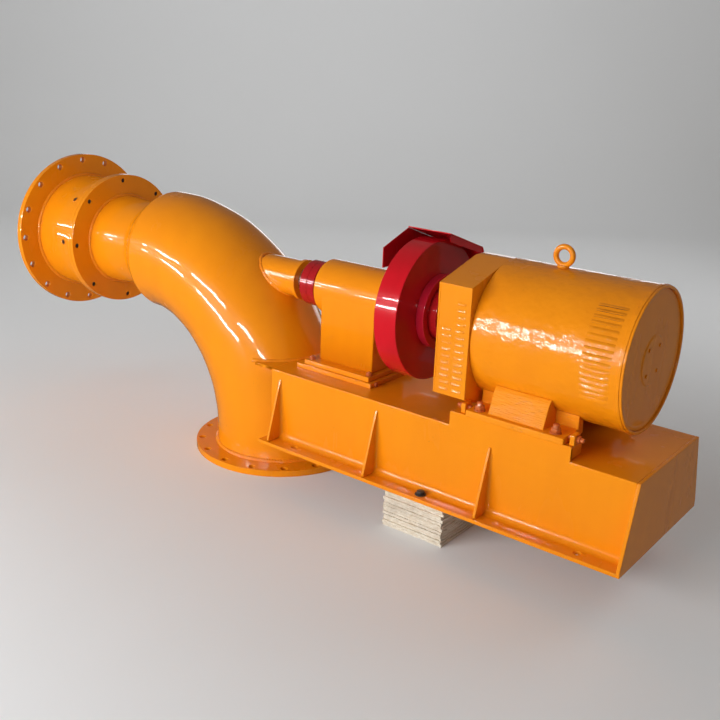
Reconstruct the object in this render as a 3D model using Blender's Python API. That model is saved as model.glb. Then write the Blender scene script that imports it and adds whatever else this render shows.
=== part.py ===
"""Micro hydro generator: an axial tubular turbine, its bent draft tube and its alternator."""
import bpy
import bmesh
from math import sin, cos, tan, pi, radians, sqrt, asin, atan2
from mathutils import Vector
from mathutils.geometry import tessellate_polygon

# Frame: +X runs along the shaft from the inlet to the alternator, +Y points away from the
# gusseted near side and +Z is up. The origin lies on the floor under the middle of the length.
# Lengths along X are written from the outlet's own axis, and add_object moves them by MIDDLE_X.

GAP = 0.0003

# Shaft line
AXIS_Z = 0.72
SHAFT_R = 0.030

# Inlet flange and runner chamber
FLANGE_R = 0.350
BOLT_CIRCLE_R = 0.325
BOLT_HOLE_R = 0.013
FLANGE_HOLES = 16
FLANGE_T = 0.028
INLET_X = -1.300
CHAMBER_R = 0.256
CHAMBER_WALL = 0.012
CHAMBER_END_X = -1.000

# Joint between the chamber and the draft tube
JOINT_FLANGE_R = 0.287
JOINT_FLANGE_T = 0.020
JOINT_HOLES = 8
JOINT_HOLE_R = 0.0095
JOINT_CIRCLE_R = 0.262
THROAT_R = 0.170

# Draft tube: cone, mitred bend and outlet
DRAFT_WALL = 0.010
NECK_R = 0.196
WAIST_R = 0.180
WAIST_X = -0.775
BEND_IN_R = 0.252
BEND_OUT_R = 0.262
BEND_LINE_R = 0.640
BEND_CUTS = 6
BOSS_PIECES = (3, 4, 5)
OUTLET_T = 0.025

# Shaft boss, gland and coupling
BOSS_R = 0.072
BOSS_BORE_R = 0.037
BOSS_END_X = 0.130

# Bearing housing on its pedestal
HOUSING_X0 = 0.252
HOUSING_X1 = 0.560
HOUSING_R = 0.105
PEDESTAL_X0 = 0.292
PEDESTAL_X1 = 0.542
PEDESTAL_HALF = 0.1045
FOOT_T = 0.018

# Flywheel
WHEEL_X0 = 0.648
WHEEL_X1 = 0.740
WHEEL_R = 0.250

# Base
BASE_X0 = 0.170
BASE_X1 = 1.630
END_PLATE_X = 1.618
BASE_HALF = 0.240
BASE_FLANGE_HALF = 0.312
BASE_BOTTOM = 0.145
BASE_TOP = 0.425
PLATE_T = 0.012
FLANGE_PLATE_T = 0.014
GUSSET_FIRST_X = 0.215
GUSSET_PITCH = 0.457
GUSSETS = 3
GUSSET_T = 0.010
ANCHOR_HOLES = (0.324, 0.899, 1.478)
ANCHOR_R = 0.012

# Alternator
PAD_X0 = 0.970
PAD_X1 = 1.405
PAD_TOP = 0.474
PAD_INNER_Y = 0.165
FOOT_X0 = 1.034
FOOT_X1 = 1.380
BLOCK_X0 = 1.106
BLOCK_X1 = 1.302
FOOT_POCKET_Y = 0.150
GEN_R = 0.233
GEN_WALL = 0.010
GEN_X0 = 1.0203
GEN_X1 = 1.532
SHROUD_X0 = 0.897
SHROUD_X1 = 1.020
SHROUD_HALF = 0.240
SHROUD_T = 0.006
SHROUD_LOW = 0.522
SHROUD_HIGH = 0.893
SHROUD_PEAK = 0.951
SHROUD_DIP = 0.486
SHROUD_FLAT = 0.030
SHROUD_SOLE = 0.150
CORE_X0 = 1.120
CORE_X1 = 1.400
CORE_R = 0.150

# Timber under the base
STACK_X0 = 0.755
STACK_X1 = 1.005
STACK_HALF = 0.296

# Hood over the flywheel
HOOD_X0 = 0.596
HOOD_X1 = 0.776
HOOD_RIDGE_Z = 1.000
HOOD_EAVE_Y = 0.220
HOOD_EAVE_Z = 0.923
HOOD_FAR_Y = 0.285
HOOD_T = 0.004
HOOD_NEAR_Y = 0.144
HOOD_NEAR_Z = 0.943
HOOD_NEAR_FOOT_Z = 0.872
HOOD_CUT_R = 0.172

# Fixed hub and vanes ahead of the runner
VANES = 8
VANE_X0 = -1.135
VANE_X1 = -1.045
VANE_HUB_R = 0.085
VANE_HALF_T = 0.004

# Lifting eye on the crown of the alternator
EYE_X = 1.201
EYE_RING_R = 0.029
EYE_BAR_R = 0.009

AXIS = Vector((0.0, 0.0, AXIS_Z))
MIDDLE_X = Vector(((INLET_X + BASE_X1) / 2, 0.0, 0.0))

ORANGE = (0.93, 0.33, 0.02, 1.0)
RED = (0.55, 0.01, 0.02, 1.0)
STEEL = (0.55, 0.56, 0.58, 1.0)
DARK = (0.10, 0.10, 0.11, 1.0)
TIMBER = (0.55, 0.40, 0.24, 1.0)


def clear_scene():
    for obj in list(bpy.data.objects):
        bpy.data.objects.remove(obj, do_unlink=True)


def make_material(name, colour, roughness, metallic):
    mat = bpy.data.materials.new(name)
    mat.use_nodes = True
    shader = mat.node_tree.nodes["Principled BSDF"]
    shader.inputs["Base Color"].default_value = colour
    shader.inputs["Roughness"].default_value = roughness
    shader.inputs["Metallic"].default_value = metallic
    mat.diffuse_color = colour
    return mat


LOOKS = {
    "orange": (ORANGE, 0.28, 0.0),
    "red": (RED, 0.25, 0.0),
    "steel": (STEEL, 0.35, 1.0),
    "dark": (DARK, 0.50, 0.3),
    "timber": (TIMBER, 0.80, 0.0),
}


def add_object(name, verts, faces, look, at=(0.0, 0.0, 0.0), smooth=30):
    """One closed body, its mesh written relative to the place where its object stands."""
    mesh = bpy.data.meshes.new(name)
    mesh.from_pydata([tuple(v) for v in verts], [], faces)
    bm = bmesh.new()
    bm.from_mesh(mesh)
    bmesh.ops.recalc_face_normals(bm, faces=bm.faces)
    bm.to_mesh(mesh)
    bm.free()
    mesh.shade_smooth()
    mesh.set_sharp_from_angle(angle=radians(smooth))
    obj = bpy.data.objects.new(name, mesh)
    obj.location = Vector(at) - MIDDLE_X
    colour, roughness, metallic = LOOKS[look]
    mesh.materials.append(make_material(name, colour, roughness, metallic))
    bpy.context.scene.collection.objects.link(obj)
    return obj


def turned(name, profile, look, segments=64, at=AXIS):
    """A profile of (x, radius) points turned about the shaft line; points at radius 0 are poles."""
    verts = []
    starts = []
    for x, r in profile:
        starts.append(len(verts))
        if r <= 1e-9:
            verts.append((x, 0.0, 0.0))
            continue
        for k in range(segments):
            a = 2 * pi * k / segments
            verts.append((x, r * cos(a), r * sin(a)))
    faces = []
    count = len(profile)
    for i in range(count):
        j = (i + 1) % count
        ri, rj = profile[i][1], profile[j][1]
        si, sj = starts[i], starts[j]
        for k in range(segments):
            n = (k + 1) % segments
            if ri <= 1e-9 and rj <= 1e-9:
                continue
            if ri <= 1e-9:
                faces.append((si, sj + k, sj + n))
            elif rj <= 1e-9:
                faces.append((si + k, si + n, sj))
            else:
                faces.append((si + k, si + n, sj + n, sj + k))
    return add_object(name, verts, faces, look, at)


def circle(r, segments, cx=0.0, cy=0.0, turn=0.0):
    return [(cx + r * cos(2 * pi * k / segments + turn), cy + r * sin(2 * pi * k / segments + turn))
            for k in range(segments)]


def on_axis(axis, u, v, w):
    """Outline coordinates (u, v) and depth w as a point: the depth runs along the named axis."""
    if axis == "X":
        return (w, u, v)
    if axis == "Y":
        return (u, w, v)
    return (u, v, w)


def plate(name, outline, holes, axis, low, high, look, at=(0.0, 0.0, 0.0)):
    """A flat plate of any outline with through holes, extruded from low to high along an axis."""
    loops = [outline] + list(holes)
    flat = [p for loop in loops for p in loop]
    caps = tessellate_polygon([[Vector((u, v, 0.0)) for u, v in loop] for loop in loops])
    verts = [on_axis(axis, u, v, low) for u, v in flat]
    verts += [on_axis(axis, u, v, high) for u, v in flat]
    total = len(flat)
    faces = [tuple(tri) for tri in caps]
    faces += [tuple(total + i for i in reversed(tri)) for tri in caps]
    start = 0
    for loop in loops:
        size = len(loop)
        for k in range(size):
            a = start + k
            b = start + (k + 1) % size
            faces.append((a, b, total + b, total + a))
        start += size
    return add_object(name, verts, faces, look, at)


def box(name, x, y, z, look):
    outline = [(x[0], y[0]), (x[1], y[0]), (x[1], y[1]), (x[0], y[1])]
    return plate(name, outline, [], "Z", z[0], z[1], look)


def hole_ring(count, radius, hole_r, segments=10):
    return [circle(hole_r, segments, radius * cos(2 * pi * k / count), radius * sin(2 * pi * k / count))
            for k in range(count)]


def swept(name, outer, inner, look, segments=48):
    """A bent pipe: outer and inner lists of (centre, direction, radii) rings, inner None for a bar."""
    verts = []
    faces = []

    def add_rings(rings):
        first = len(verts)
        for centre, ahead, r in rings:
            across = Vector((0.0, 1.0, 0.0))
            up = ahead.cross(across).normalized()
            for k in range(segments):
                a = 2 * pi * k / segments
                verts.append(centre + across * (r[0] * cos(a)) + up * (r[1] * sin(a)))
        for i in range(len(rings) - 1):
            for k in range(segments):
                n = (k + 1) % segments
                a = first + i * segments
                b = a + segments
                faces.append((a + k, a + n, b + n, b + k))
        return first, first + (len(rings) - 1) * segments

    out_a, out_b = add_rings(outer)
    if inner is None:
        faces.append(tuple(out_a + k for k in range(segments)))
        faces.append(tuple(out_b + k for k in range(segments)))
    else:
        in_a, in_b = add_rings(inner)
        for k in range(segments):
            n = (k + 1) % segments
            faces.append((out_a + k, out_a + n, in_a + n, in_a + k))
            faces.append((out_b + k, out_b + n, in_b + n, in_b + k))
    return add_object(name, verts, faces, look, smooth=12)


def cutter(obj):
    obj.hide_render = True
    obj.display_type = "WIRE"
    return obj


def cut(obj, tool):
    mod = obj.modifiers.new("cut", "BOOLEAN")
    mod.operation = "DIFFERENCE"
    mod.solver = "EXACT"
    mod.object = tool
    return mod


def bend_rings(grow):
    """Rings of the mitred draft bend: its start, each mitre between two straight pieces, its foot."""
    centre_z = AXIS_Z - BEND_LINE_R
    step = pi / 2 / BEND_CUTS
    line_r = BEND_LINE_R / cos(step / 2)
    start = BEND_IN_R + grow
    rings = [(Vector((-BEND_LINE_R, 0.0, AXIS_Z)), Vector((1.0, 0.0, 0.0)), (start, start))]
    for k in range(BEND_CUTS):
        a = step * (k + 0.5)
        centre = Vector((-BEND_LINE_R + line_r * sin(a), 0.0, centre_z + line_r * cos(a)))
        r = BEND_IN_R + (BEND_OUT_R - BEND_IN_R) * (k + 0.5) / BEND_CUTS + grow
        rings.append((centre, Vector((cos(a), 0.0, -sin(a))), (r, r / cos(step / 2))))
    foot = BEND_OUT_R + grow
    rings.append((Vector((0.0, 0.0, OUTLET_T + GAP)), Vector((0.0, 0.0, -1.0)), (foot, foot)))
    return rings


def bend_piece(number, first_cut, last_cut):
    """One straight piece of the bend, each mitred end drawn back by half the gap."""
    pair = []
    for grow in (0.0, -DRAFT_WALL):
        rings = bend_rings(grow)[number - 1:number + 1]
        (centre_a, ahead_a, r_a), (centre_b, ahead_b, r_b) = rings
        back_a = 0.0 if first_cut else GAP / 2
        back_b = 0.0 if last_cut else GAP / 2
        pair.append([(centre_a + ahead_a * back_a, ahead_a, r_a),
                     (centre_b - ahead_b * back_b, ahead_b, r_b)])
    return swept("bend_piece_%d" % number, pair[0], pair[1], "orange")


def inlet_parts():
    flange_x1 = INLET_X + FLANGE_T
    bore = CHAMBER_R - CHAMBER_WALL
    plate("inlet_flange", circle(FLANGE_R, 56), [circle(bore, 48)] + hole_ring(FLANGE_HOLES, BOLT_CIRCLE_R,
          BOLT_HOLE_R), "X", INLET_X, flange_x1, "orange", AXIS)
    end = CHAMBER_END_X - JOINT_FLANGE_T - GAP
    turned("runner_chamber", [(flange_x1 + GAP, bore), (flange_x1 + GAP, CHAMBER_R), (end - GAP, CHAMBER_R),
           (end - GAP, bore)], "orange", 48)
    # Throat flange: the bore narrows here from the chamber to the runner
    face = CHAMBER_END_X - GAP
    turned("chamber_flange", [(end, THROAT_R + 0.03), (end, JOINT_FLANGE_R), (face, JOINT_FLANGE_R),
           (face, THROAT_R)], "orange", 48)


def guide_vanes():
    """Fixed hub on straight vanes, one extruded star inside the chamber, and the hub's round nose."""
    tip = CHAMBER_R - CHAMBER_WALL - GAP
    pitch = 2 * pi / VANES
    spread = atan2(VANE_HALF_T, VANE_HUB_R)
    outline = []
    for k in range(VANES):
        a = pitch * k
        for m in range(4):
            b = a - pitch + spread + (pitch - 2 * spread) * m / 3
            outline.append((VANE_HUB_R * cos(b), VANE_HUB_R * sin(b)))
        for side in (-VANE_HALF_T, VANE_HALF_T):
            outline.append((tip * cos(a) - side * sin(a), tip * sin(a) + side * cos(a)))
    bore = circle(SHAFT_R + GAP, 32)
    plate("guide_vane_hub", outline, [bore], "X", VANE_X0, VANE_X1, "orange", AXIS)
    back = VANE_X0 - GAP
    reach = 0.085
    nose = [(back, 0.0)]
    for k in range(5):
        a = radians(18 * k)
        nose.append((back - reach * sin(a), VANE_HUB_R * cos(a)))
    nose.append((back - reach, 0.0))
    turned("hub_nose", nose, "orange", 32)


def draft_parts():
    x0 = CHAMBER_END_X
    x1 = x0 + JOINT_FLANGE_T
    w = DRAFT_WALL
    joint_holes = hole_ring(JOINT_HOLES, JOINT_CIRCLE_R, JOINT_HOLE_R)
    plate("draft_flange", circle(JOINT_FLANGE_R, 48), [circle(NECK_R - w, 48)] + joint_holes,
          "X", x0, x1, "orange", AXIS)
    turned("draft_neck", [(x1 + GAP, NECK_R - w), (x1 + GAP, NECK_R), (WAIST_X, WAIST_R),
           (WAIST_X, WAIST_R - w)], "orange", 48)
    cone_end = -BEND_LINE_R - GAP
    turned("draft_cone", [(WAIST_X + GAP, WAIST_R - w), (WAIST_X + GAP, WAIST_R), (cone_end, BEND_IN_R),
           (cone_end, BEND_IN_R - w)], "orange", 48)
    boss_cut = cutter(turned("boss_cutter", [(-0.30, 0.0), (-0.30, BOSS_R + GAP), (0.30, BOSS_R + GAP),
                                             (0.30, 0.0)], "dark", 40))
    for number in range(1, BEND_CUTS + 2):
        piece = bend_piece(number, number == 1, number == BEND_CUTS + 1)
        if number in BOSS_PIECES:
            cut(piece, boss_cut)
    bore = BEND_OUT_R - w
    plate("outlet_flange", circle(FLANGE_R, 56), [circle(bore, 48)] + hole_ring(FLANGE_HOLES, BOLT_CIRCLE_R,
          BOLT_HOLE_R), "Z", 0.0, OUTLET_T, "orange")
    turned("shaft_boss", [(-0.075, BOSS_BORE_R), (-0.075, BOSS_R), (BOSS_END_X - 0.018, BOSS_R),
           (BOSS_END_X - 0.018, BOSS_R + 0.008), (BOSS_END_X, BOSS_R + 0.008), (BOSS_END_X, BOSS_BORE_R)],
           "orange", 40)
    turned("gland_ring", [(BOSS_END_X + GAP, SHAFT_R + GAP), (BOSS_END_X + GAP, 0.054),
           (BOSS_END_X + 0.014, 0.054), (BOSS_END_X + 0.014, SHAFT_R + GAP)], "steel", 32)


def bearing_parts():
    seat = SHAFT_R + GAP
    turned("bearing_housing", [(HOUSING_X0, seat), (HOUSING_X0, HOUSING_R), (HOUSING_X1, HOUSING_R),
           (HOUSING_X1, seat)], "orange", 56)
    # Pedestal: a box whose head is hollowed to carry the round housing
    foot_z = BASE_TOP + GAP
    top = foot_z + 2 * FOOT_T + 2 * GAP
    r = HOUSING_R + GAP
    reach = PEDESTAL_HALF - 0.001
    a0 = atan2(-sqrt(r * r - reach * reach), reach)
    outline = [(-PEDESTAL_HALF, top), (PEDESTAL_HALF, top), (PEDESTAL_HALF, AXIS_Z + r * sin(a0))]
    for k in range(41):
        a = a0 - (pi + 2 * a0) * k / 40
        outline.append((r * cos(a), AXIS_Z + r * sin(a)))
    outline.append((-PEDESTAL_HALF, AXIS_Z + r * sin(a0)))
    plate("bearing_pedestal", outline, [], "X", PEDESTAL_X0, PEDESTAL_X1, "orange")
    box("pedestal_foot", (0.255, 0.562), (-0.150, 0.150), (foot_z + FOOT_T + GAP, foot_z + 2 * FOOT_T + GAP),
        "orange")
    box("sole_plate", (0.224, 0.578), (-0.158, 0.158), (foot_z, foot_z + FOOT_T), "orange")


def shaft_line():
    """Everything that turns, about the shaft line."""
    hub = 0.052
    turned("turbine_shaft", [(-1.075, 0.0), (-1.075, SHAFT_R), (0.200, SHAFT_R), (0.200, 0.0)], "steel", 32)
    blade = []
    for k in range(4):
        a = 2 * pi * k / 4
        spread = atan2(0.007, hub)
        for m in range(4):
            b = a - pi / 2 + spread + (pi / 2 - 2 * spread) * m / 3
            blade.append((hub * cos(b), hub * sin(b)))
        for b in (-0.30, -0.15, 0.0, 0.15, 0.30):
            blade.append((0.162 * cos(a + b), 0.162 * sin(a + b)))
    plate("runner", blade, [circle(SHAFT_R + GAP, 24)], "X", -0.965, -0.915, "steel", AXIS)
    turned("coupling_half_left", [(0.150, SHAFT_R + GAP), (0.150, 0.050), (0.166, 0.050), (0.166, 0.088),
           (0.200, 0.088), (0.200, SHAFT_R + GAP)], "red", 36)
    turned("coupling_half_right", [(0.2003, SHAFT_R + GAP), (0.2003, 0.088), (0.234, 0.088), (0.234, 0.050),
           (0.246, 0.050), (0.246, SHAFT_R + GAP)], "red", 36)
    turned("bearing_shaft", [(0.2003, 0.0), (0.2003, SHAFT_R), (0.790, SHAFT_R), (0.790, 0.0)], "steel", 32)
    r = SHAFT_R + GAP
    turned("flywheel", [(0.585, r), (0.585, 0.062), (WHEEL_X0, 0.070), (WHEEL_X0, WHEEL_R - 0.003),
           (WHEEL_X0 + 0.003, WHEEL_R), (WHEEL_X1 - 0.003, WHEEL_R), (WHEEL_X1, WHEEL_R - 0.003),
           (WHEEL_X1, r)], "red", 56)
    turned("drive_coupling_disc", [(WHEEL_X1 + GAP, r), (WHEEL_X1 + GAP, 0.134), (0.772, 0.134),
           (0.772, 0.106), (0.764, 0.106), (0.764, r)], "red", 56)
    turned("drive_coupling_hub", [(0.7643, 0.036), (0.7643, 0.100), (0.800, 0.100), (0.800, 0.058),
           (0.872, 0.058), (0.872, r), (0.7903, r), (0.7903, 0.036)], "red", 36)
    end = GEN_X1 - 0.040
    turned("alternator_shaft", [(0.791, 0.0), (0.791, SHAFT_R), (end, SHAFT_R), (end, 0.0)], "steel", 32)


def base_parts():
    """Fabricated box: two webs on flanges, a top plate that meets the bend, gussets and end plates."""
    z0 = BASE_BOTTOM + FLANGE_PLATE_T + GAP
    x1 = END_PLATE_X - GAP
    reach = BASE_FLANGE_HALF - 0.004
    near = BASE_HALF + GAP
    shoulder = BASE_TOP - 0.035
    toe = z0 + 0.012
    for side, name in ((-1, "near"), (1, "far")):
        y = sorted((side * BASE_HALF, side * (BASE_HALF - PLATE_T)))
        box("base_side_" + name, (BASE_X0, x1), y, (z0, BASE_TOP), "orange")
        lip = sorted((side * BASE_FLANGE_HALF, side * (BASE_HALF - PLATE_T - 0.022)))
        outline = [(BASE_X0, lip[0]), (x1, lip[0]), (x1, lip[1]), (BASE_X0, lip[1])]
        middle = side * (BASE_HALF + BASE_FLANGE_HALF) / 2
        holes = [circle(ANCHOR_R, 12, x, middle) for x in ANCHOR_HOLES]
        plate("base_flange_" + name, outline, holes, "Z", BASE_BOTTOM, BASE_BOTTOM + FLANGE_PLATE_T, "orange")
        shape = [(side * near, z0), (side * reach, z0), (side * reach, toe),
                 (side * (near + 0.012), shoulder), (side * near, shoulder)]
        for k in range(GUSSETS):
            x = GUSSET_FIRST_X + GUSSET_PITCH * k
            gusset = "gusset_%s_%d" % (name, k + 1)
            plate(gusset, shape, [], "X", x - GUSSET_T / 2, x + GUSSET_T / 2, "orange")
        pad = sorted((side * BASE_HALF, side * PAD_INNER_Y))
        box("alternator_pad_" + name, (PAD_X0, PAD_X1), pad, (BASE_TOP + GAP, PAD_TOP), "orange")
    inner = BASE_HALF - PLATE_T - GAP
    bend = cutter(swept("bend_cutter", bend_rings(GAP), None, "dark"))
    top = box("base_top", (0.060, x1), (-inner, inner), (BASE_TOP - PLATE_T, BASE_TOP), "orange")
    cut(top, bend)
    x = BEND_OUT_R + 0.014
    box("base_end_left", (x, x + PLATE_T), (-inner, inner), (z0, BASE_TOP - PLATE_T - GAP), "orange")
    # The right end plate is as wide as the flanges and slopes in like the gussets
    half = [(BASE_FLANGE_HALF, BASE_BOTTOM), (BASE_FLANGE_HALF, toe), (BASE_HALF, BASE_TOP)]
    outline = half + [(-u, v) for u, v in reversed(half)]
    plate("base_end_right", outline, [], "X", END_PLATE_X, BASE_X1, "orange")
    box("packing_stack", (STACK_X0, STACK_X1), (-STACK_HALF, STACK_HALF), (0.0, BASE_BOTTOM - GAP), "timber")


def alternator_parts():
    r = GEN_R
    w = GEN_WALL
    seat = SHAFT_R + GAP
    fit = r - w - GAP
    # The wound stator is one mass with the body round it
    turned("alternator_body", [(GEN_X0, r - w), (GEN_X0, r), (GEN_X1, r), (GEN_X1, r - w), (CORE_X1, r - w),
           (CORE_X1, CORE_R), (CORE_X0, CORE_R), (CORE_X0, r - w)], "orange", 56)
    # End shield: a dished plate whose boss carries the shaft's blind end
    back = GEN_X1 - 0.004
    front = back - 0.014
    turned("alternator_end_shield", [(front - 0.040, seat), (front - 0.040, 0.060), (front, 0.060),
           (front, fit), (back, fit), (back, 0.0), (front - 0.008, 0.0), (front - 0.008, seat)], "orange", 56)
    inset = 0.010
    turned("alternator_rotor_core", [(CORE_X0 + inset, seat), (CORE_X0 + inset, CORE_R - 0.008),
           (CORE_X1 - inset, CORE_R - 0.008), (CORE_X1 - inset, seat)], "dark", 28)
    outer = shroud_outline(0.0)
    inner = shroud_outline(SHROUD_T)
    plate("alternator_shroud", outer, [inner], "X", SHROUD_X0 + SHROUD_T + GAP, SHROUD_X1, "orange")
    opening = circle(SHAFT_R + 0.036, 32, 0.0, AXIS_Z)
    plate("shroud_end_plate", outer, [opening], "X", SHROUD_X0, SHROUD_X0 + SHROUD_T, "orange")
    # Drive shield: carries the shaft, closes the body and holds the shroud round its edge
    bore = circle(seat, 32, 0.0, AXIS_Z)
    plate("alternator_drive_shield", shroud_outline(SHROUD_T + GAP), [bore], "X", SHROUD_X1 - 0.014,
          SHROUD_X1, "orange")


def shroud_outline(inset):
    """The shroud's eight-sided section, drawn in on every side by the inset."""
    slope = atan2(SHROUD_PEAK - SHROUD_HIGH, SHROUD_HALF - SHROUD_FLAT)
    lean = atan2(SHROUD_LOW - SHROUD_DIP, SHROUD_HALF - SHROUD_SOLE)
    half = [(SHROUD_SOLE - inset * tan(lean / 2), SHROUD_DIP + inset),
            (SHROUD_HALF - inset, SHROUD_LOW + inset * tan(pi / 4 - lean / 2)),
            (SHROUD_HALF - inset, SHROUD_HIGH - inset * tan(pi / 4 - slope / 2)),
            (SHROUD_FLAT - inset * tan(slope / 2), SHROUD_PEAK - inset)]
    return half + [(-u, v) for u, v in reversed(half)]


def alternator_feet():
    """Cast feet: a sole, a web that follows the round body, and a block left between two bolt pockets."""
    r = GEN_R + GAP
    low = PAD_TOP + GAP
    sole = low + 0.022
    for side, name in ((-1, "near"), (1, "far")):
        shape = [(0.250, low), (0.250, sole), (0.232, sole), (0.206, 0.566)]
        first = -0.62
        last = -1.05
        for k in range(7):
            a = first + (last - first) * k / 6
            shape.append((r * cos(a), AXIS_Z + r * sin(a)))
        shape.append((0.110, low))
        shape = [(side * u, v) for u, v in shape]
        foot = plate("alternator_foot_" + name, shape, [], "X", FOOT_X0, FOOT_X1, "orange")
        wide = sorted((side * FOOT_POCKET_Y, side * 0.270))
        for number, x in enumerate(((FOOT_X0 - 0.01, BLOCK_X0), (BLOCK_X1, FOOT_X1 + 0.01))):
            tool = cutter(box("pocket_cutter_%s_%d" % (name, number), x, wide, (sole, 0.620), "dark"))
            cut(foot, tool)


def lifting_eye():
    ring_r = EYE_RING_R
    bar_r = EYE_BAR_R
    body_top = AXIS_Z + GEN_R
    centre_z = body_top + ring_r + 0.009
    around, along = 20, 8
    verts = []
    faces = []
    for i in range(around):
        a = 2 * pi * i / around
        for j in range(along):
            b = 2 * pi * j / along
            r = ring_r + bar_r * cos(b)
            verts.append((EYE_X + r * cos(a), bar_r * sin(b), centre_z + r * sin(a)))
    for i in range(around):
        for j in range(along):
            a, b = i * along, ((i + 1) % around) * along
            k = (j + 1) % along
            faces.append((a + j, b + j, b + k, a + k))
    eye = add_object("lifting_eye", verts, faces, "orange")
    outline = circle(0.019, 24, EYE_X)
    seat = centre_z - ring_r + 0.004
    collar = cutter(plate("eye_collar", outline, [], "Z", body_top + GAP, seat, "orange"))
    mod = eye.modifiers.new("collar", "BOOLEAN")
    mod.operation = "UNION"
    mod.solver = "EXACT"
    mod.object = collar


def flywheel_hood():
    """Half hood, open on the near side: a bent sheet and the crescent plate that closes its left end."""
    t = HOOD_T
    top = HOOD_RIDGE_Z
    far = HOOD_FAR_Y
    foot = BASE_TOP - 0.028
    web = BASE_HALF + GAP
    wall_z = 0.815
    outer = [(0.0, top), (HOOD_EAVE_Y, HOOD_EAVE_Z), (far, wall_z), (far, foot), (web, foot)]
    inner = [(web, foot + t), (far - t, foot + t), (far - t, wall_z - 0.001),
             (HOOD_EAVE_Y - 0.002, HOOD_EAVE_Z - t), (0.0, top - t - 0.0005)]
    plate("flywheel_hood", outer + inner, [], "X", HOOD_X0, HOOD_X1, "red")
    # The end plate falls from the ridge to both sides and is cut out round the shaft line
    seat = t + 2 * GAP
    edge = [(far - t - GAP, AXIS_Z), (far - t - GAP, wall_z - 0.0015),
            (HOOD_EAVE_Y - 0.0023, HOOD_EAVE_Z - seat), (0.0, top - seat - 0.0005),
            (-HOOD_NEAR_Y, HOOD_NEAR_Z), (-HOOD_NEAR_Y, HOOD_NEAR_FOOT_Z)]
    first = pi - asin((HOOD_NEAR_FOOT_Z - AXIS_Z) / HOOD_CUT_R)
    for k in range(15):
        a = first * (1 - k / 14)
        edge.append((HOOD_CUT_R * cos(a), AXIS_Z + HOOD_CUT_R * sin(a)))
    plate("hood_end_plate", edge, [], "X", HOOD_X0, HOOD_X0 + t, "red")


def main():
    clear_scene()
    inlet_parts()
    guide_vanes()
    draft_parts()
    bearing_parts()
    shaft_line()
    base_parts()
    alternator_parts()
    alternator_feet()
    lifting_eye()
    flywheel_hood()


main()
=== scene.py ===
# %% [markdown]
# # A micro hydro generator, dressed
#
# The solids that arrive here are true to size but plain: flat facets, sharp edges and one grey finish.
# A real set of this kind is rolled and welded plate under thick gloss enamel, so three things sell it:
# round pieces that reflect as one curve, edges that catch a thin line of light, and paint that is never
# quite even. Each step below makes one of these for one group of pieces.

# %% Load the frame
from math import cos, pi, radians, sin, sqrt
from random import Random

import bpy
import bmesh
from mathutils import Matrix, Vector
from mathutils.geometry import tessellate_polygon


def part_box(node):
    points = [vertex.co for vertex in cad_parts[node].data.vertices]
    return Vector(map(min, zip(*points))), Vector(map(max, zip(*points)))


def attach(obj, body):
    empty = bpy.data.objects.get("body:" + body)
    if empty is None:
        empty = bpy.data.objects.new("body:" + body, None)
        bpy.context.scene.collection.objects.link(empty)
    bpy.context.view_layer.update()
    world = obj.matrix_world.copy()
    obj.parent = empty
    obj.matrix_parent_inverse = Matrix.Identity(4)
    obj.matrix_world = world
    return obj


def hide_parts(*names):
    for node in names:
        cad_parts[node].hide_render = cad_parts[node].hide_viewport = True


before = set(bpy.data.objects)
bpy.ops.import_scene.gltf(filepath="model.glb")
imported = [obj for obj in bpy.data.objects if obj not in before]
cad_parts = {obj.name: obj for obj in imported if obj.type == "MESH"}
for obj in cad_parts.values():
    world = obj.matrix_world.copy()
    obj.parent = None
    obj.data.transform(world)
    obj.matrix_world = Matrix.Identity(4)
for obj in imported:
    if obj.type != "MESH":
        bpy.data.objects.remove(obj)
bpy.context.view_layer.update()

AXIS_Z = sum(corner.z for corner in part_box("bearing_shaft")) / 2
print("nodes", len(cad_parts), "shaft height", round(AXIS_Z, 4))

# %% [markdown]
# ## Camera
#
# The camera stands where the photographer stood. Its place, its tilt of two degrees and its lens were
# solved from straight edges of the base and from the flanges' ellipses. Building the matrix from its
# three own directions keeps the small roll, which a look-at constraint would throw away.

# %% Camera at the photographer's place
CAMERA_AT = Vector((2.3116, -2.6835, 1.5873))
AZIMUTH = radians(37.67)
ELEVATION = radians(18.44)
ROLL = radians(2.23)
FOCAL_PX = 935.45
FRAME_PX = 720.0
SENSOR_MM = 36.0


def new_object(name, data):
    obj = bpy.data.objects.new(name, data)
    bpy.context.scene.collection.objects.link(obj)
    return obj


def add_camera():
    ahead = Vector((-sin(AZIMUTH) * cos(ELEVATION), cos(AZIMUTH) * cos(ELEVATION), -sin(ELEVATION)))
    level = ahead.cross(Vector((0, 0, 1))).normalized()
    upright = level.cross(ahead)
    right = level * cos(ROLL) + upright * sin(ROLL)
    up = upright * cos(ROLL) - level * sin(ROLL)
    data = bpy.data.cameras.new("camera")
    data.sensor_width = SENSOR_MM
    data.lens = FOCAL_PX / FRAME_PX * SENSOR_MM
    data.clip_end = 100.0
    camera = new_object("camera", data)
    turn = Matrix((right, up, -ahead)).transposed()
    camera.matrix_world = Matrix.Translation(CAMERA_AT) @ turn.to_4x4()
    bpy.context.scene.camera = camera
    return camera


camera = add_camera()
print("lens", round(camera.data.lens, 2), "mm")

# %% [markdown]
# ## Light and floor
#
# Gloss paint shows the room. On the real set the light comes in low from the left of the camera, tops
# are darker than sides, and two rows of tubes draw paired dashes along every round piece. Wide panels
# and a pale floor would wash the orange out if the gloss showed them, so they only light the paint.
# The gloss shows a dim room, the tubes, whose gaps break the dashes, and one low strip behind the set,
# which it meets only at grazing angles and which draws the thin bright line round every top. Tubes and
# strip show in nothing else, because they would draw bands on the backdrop.

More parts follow.
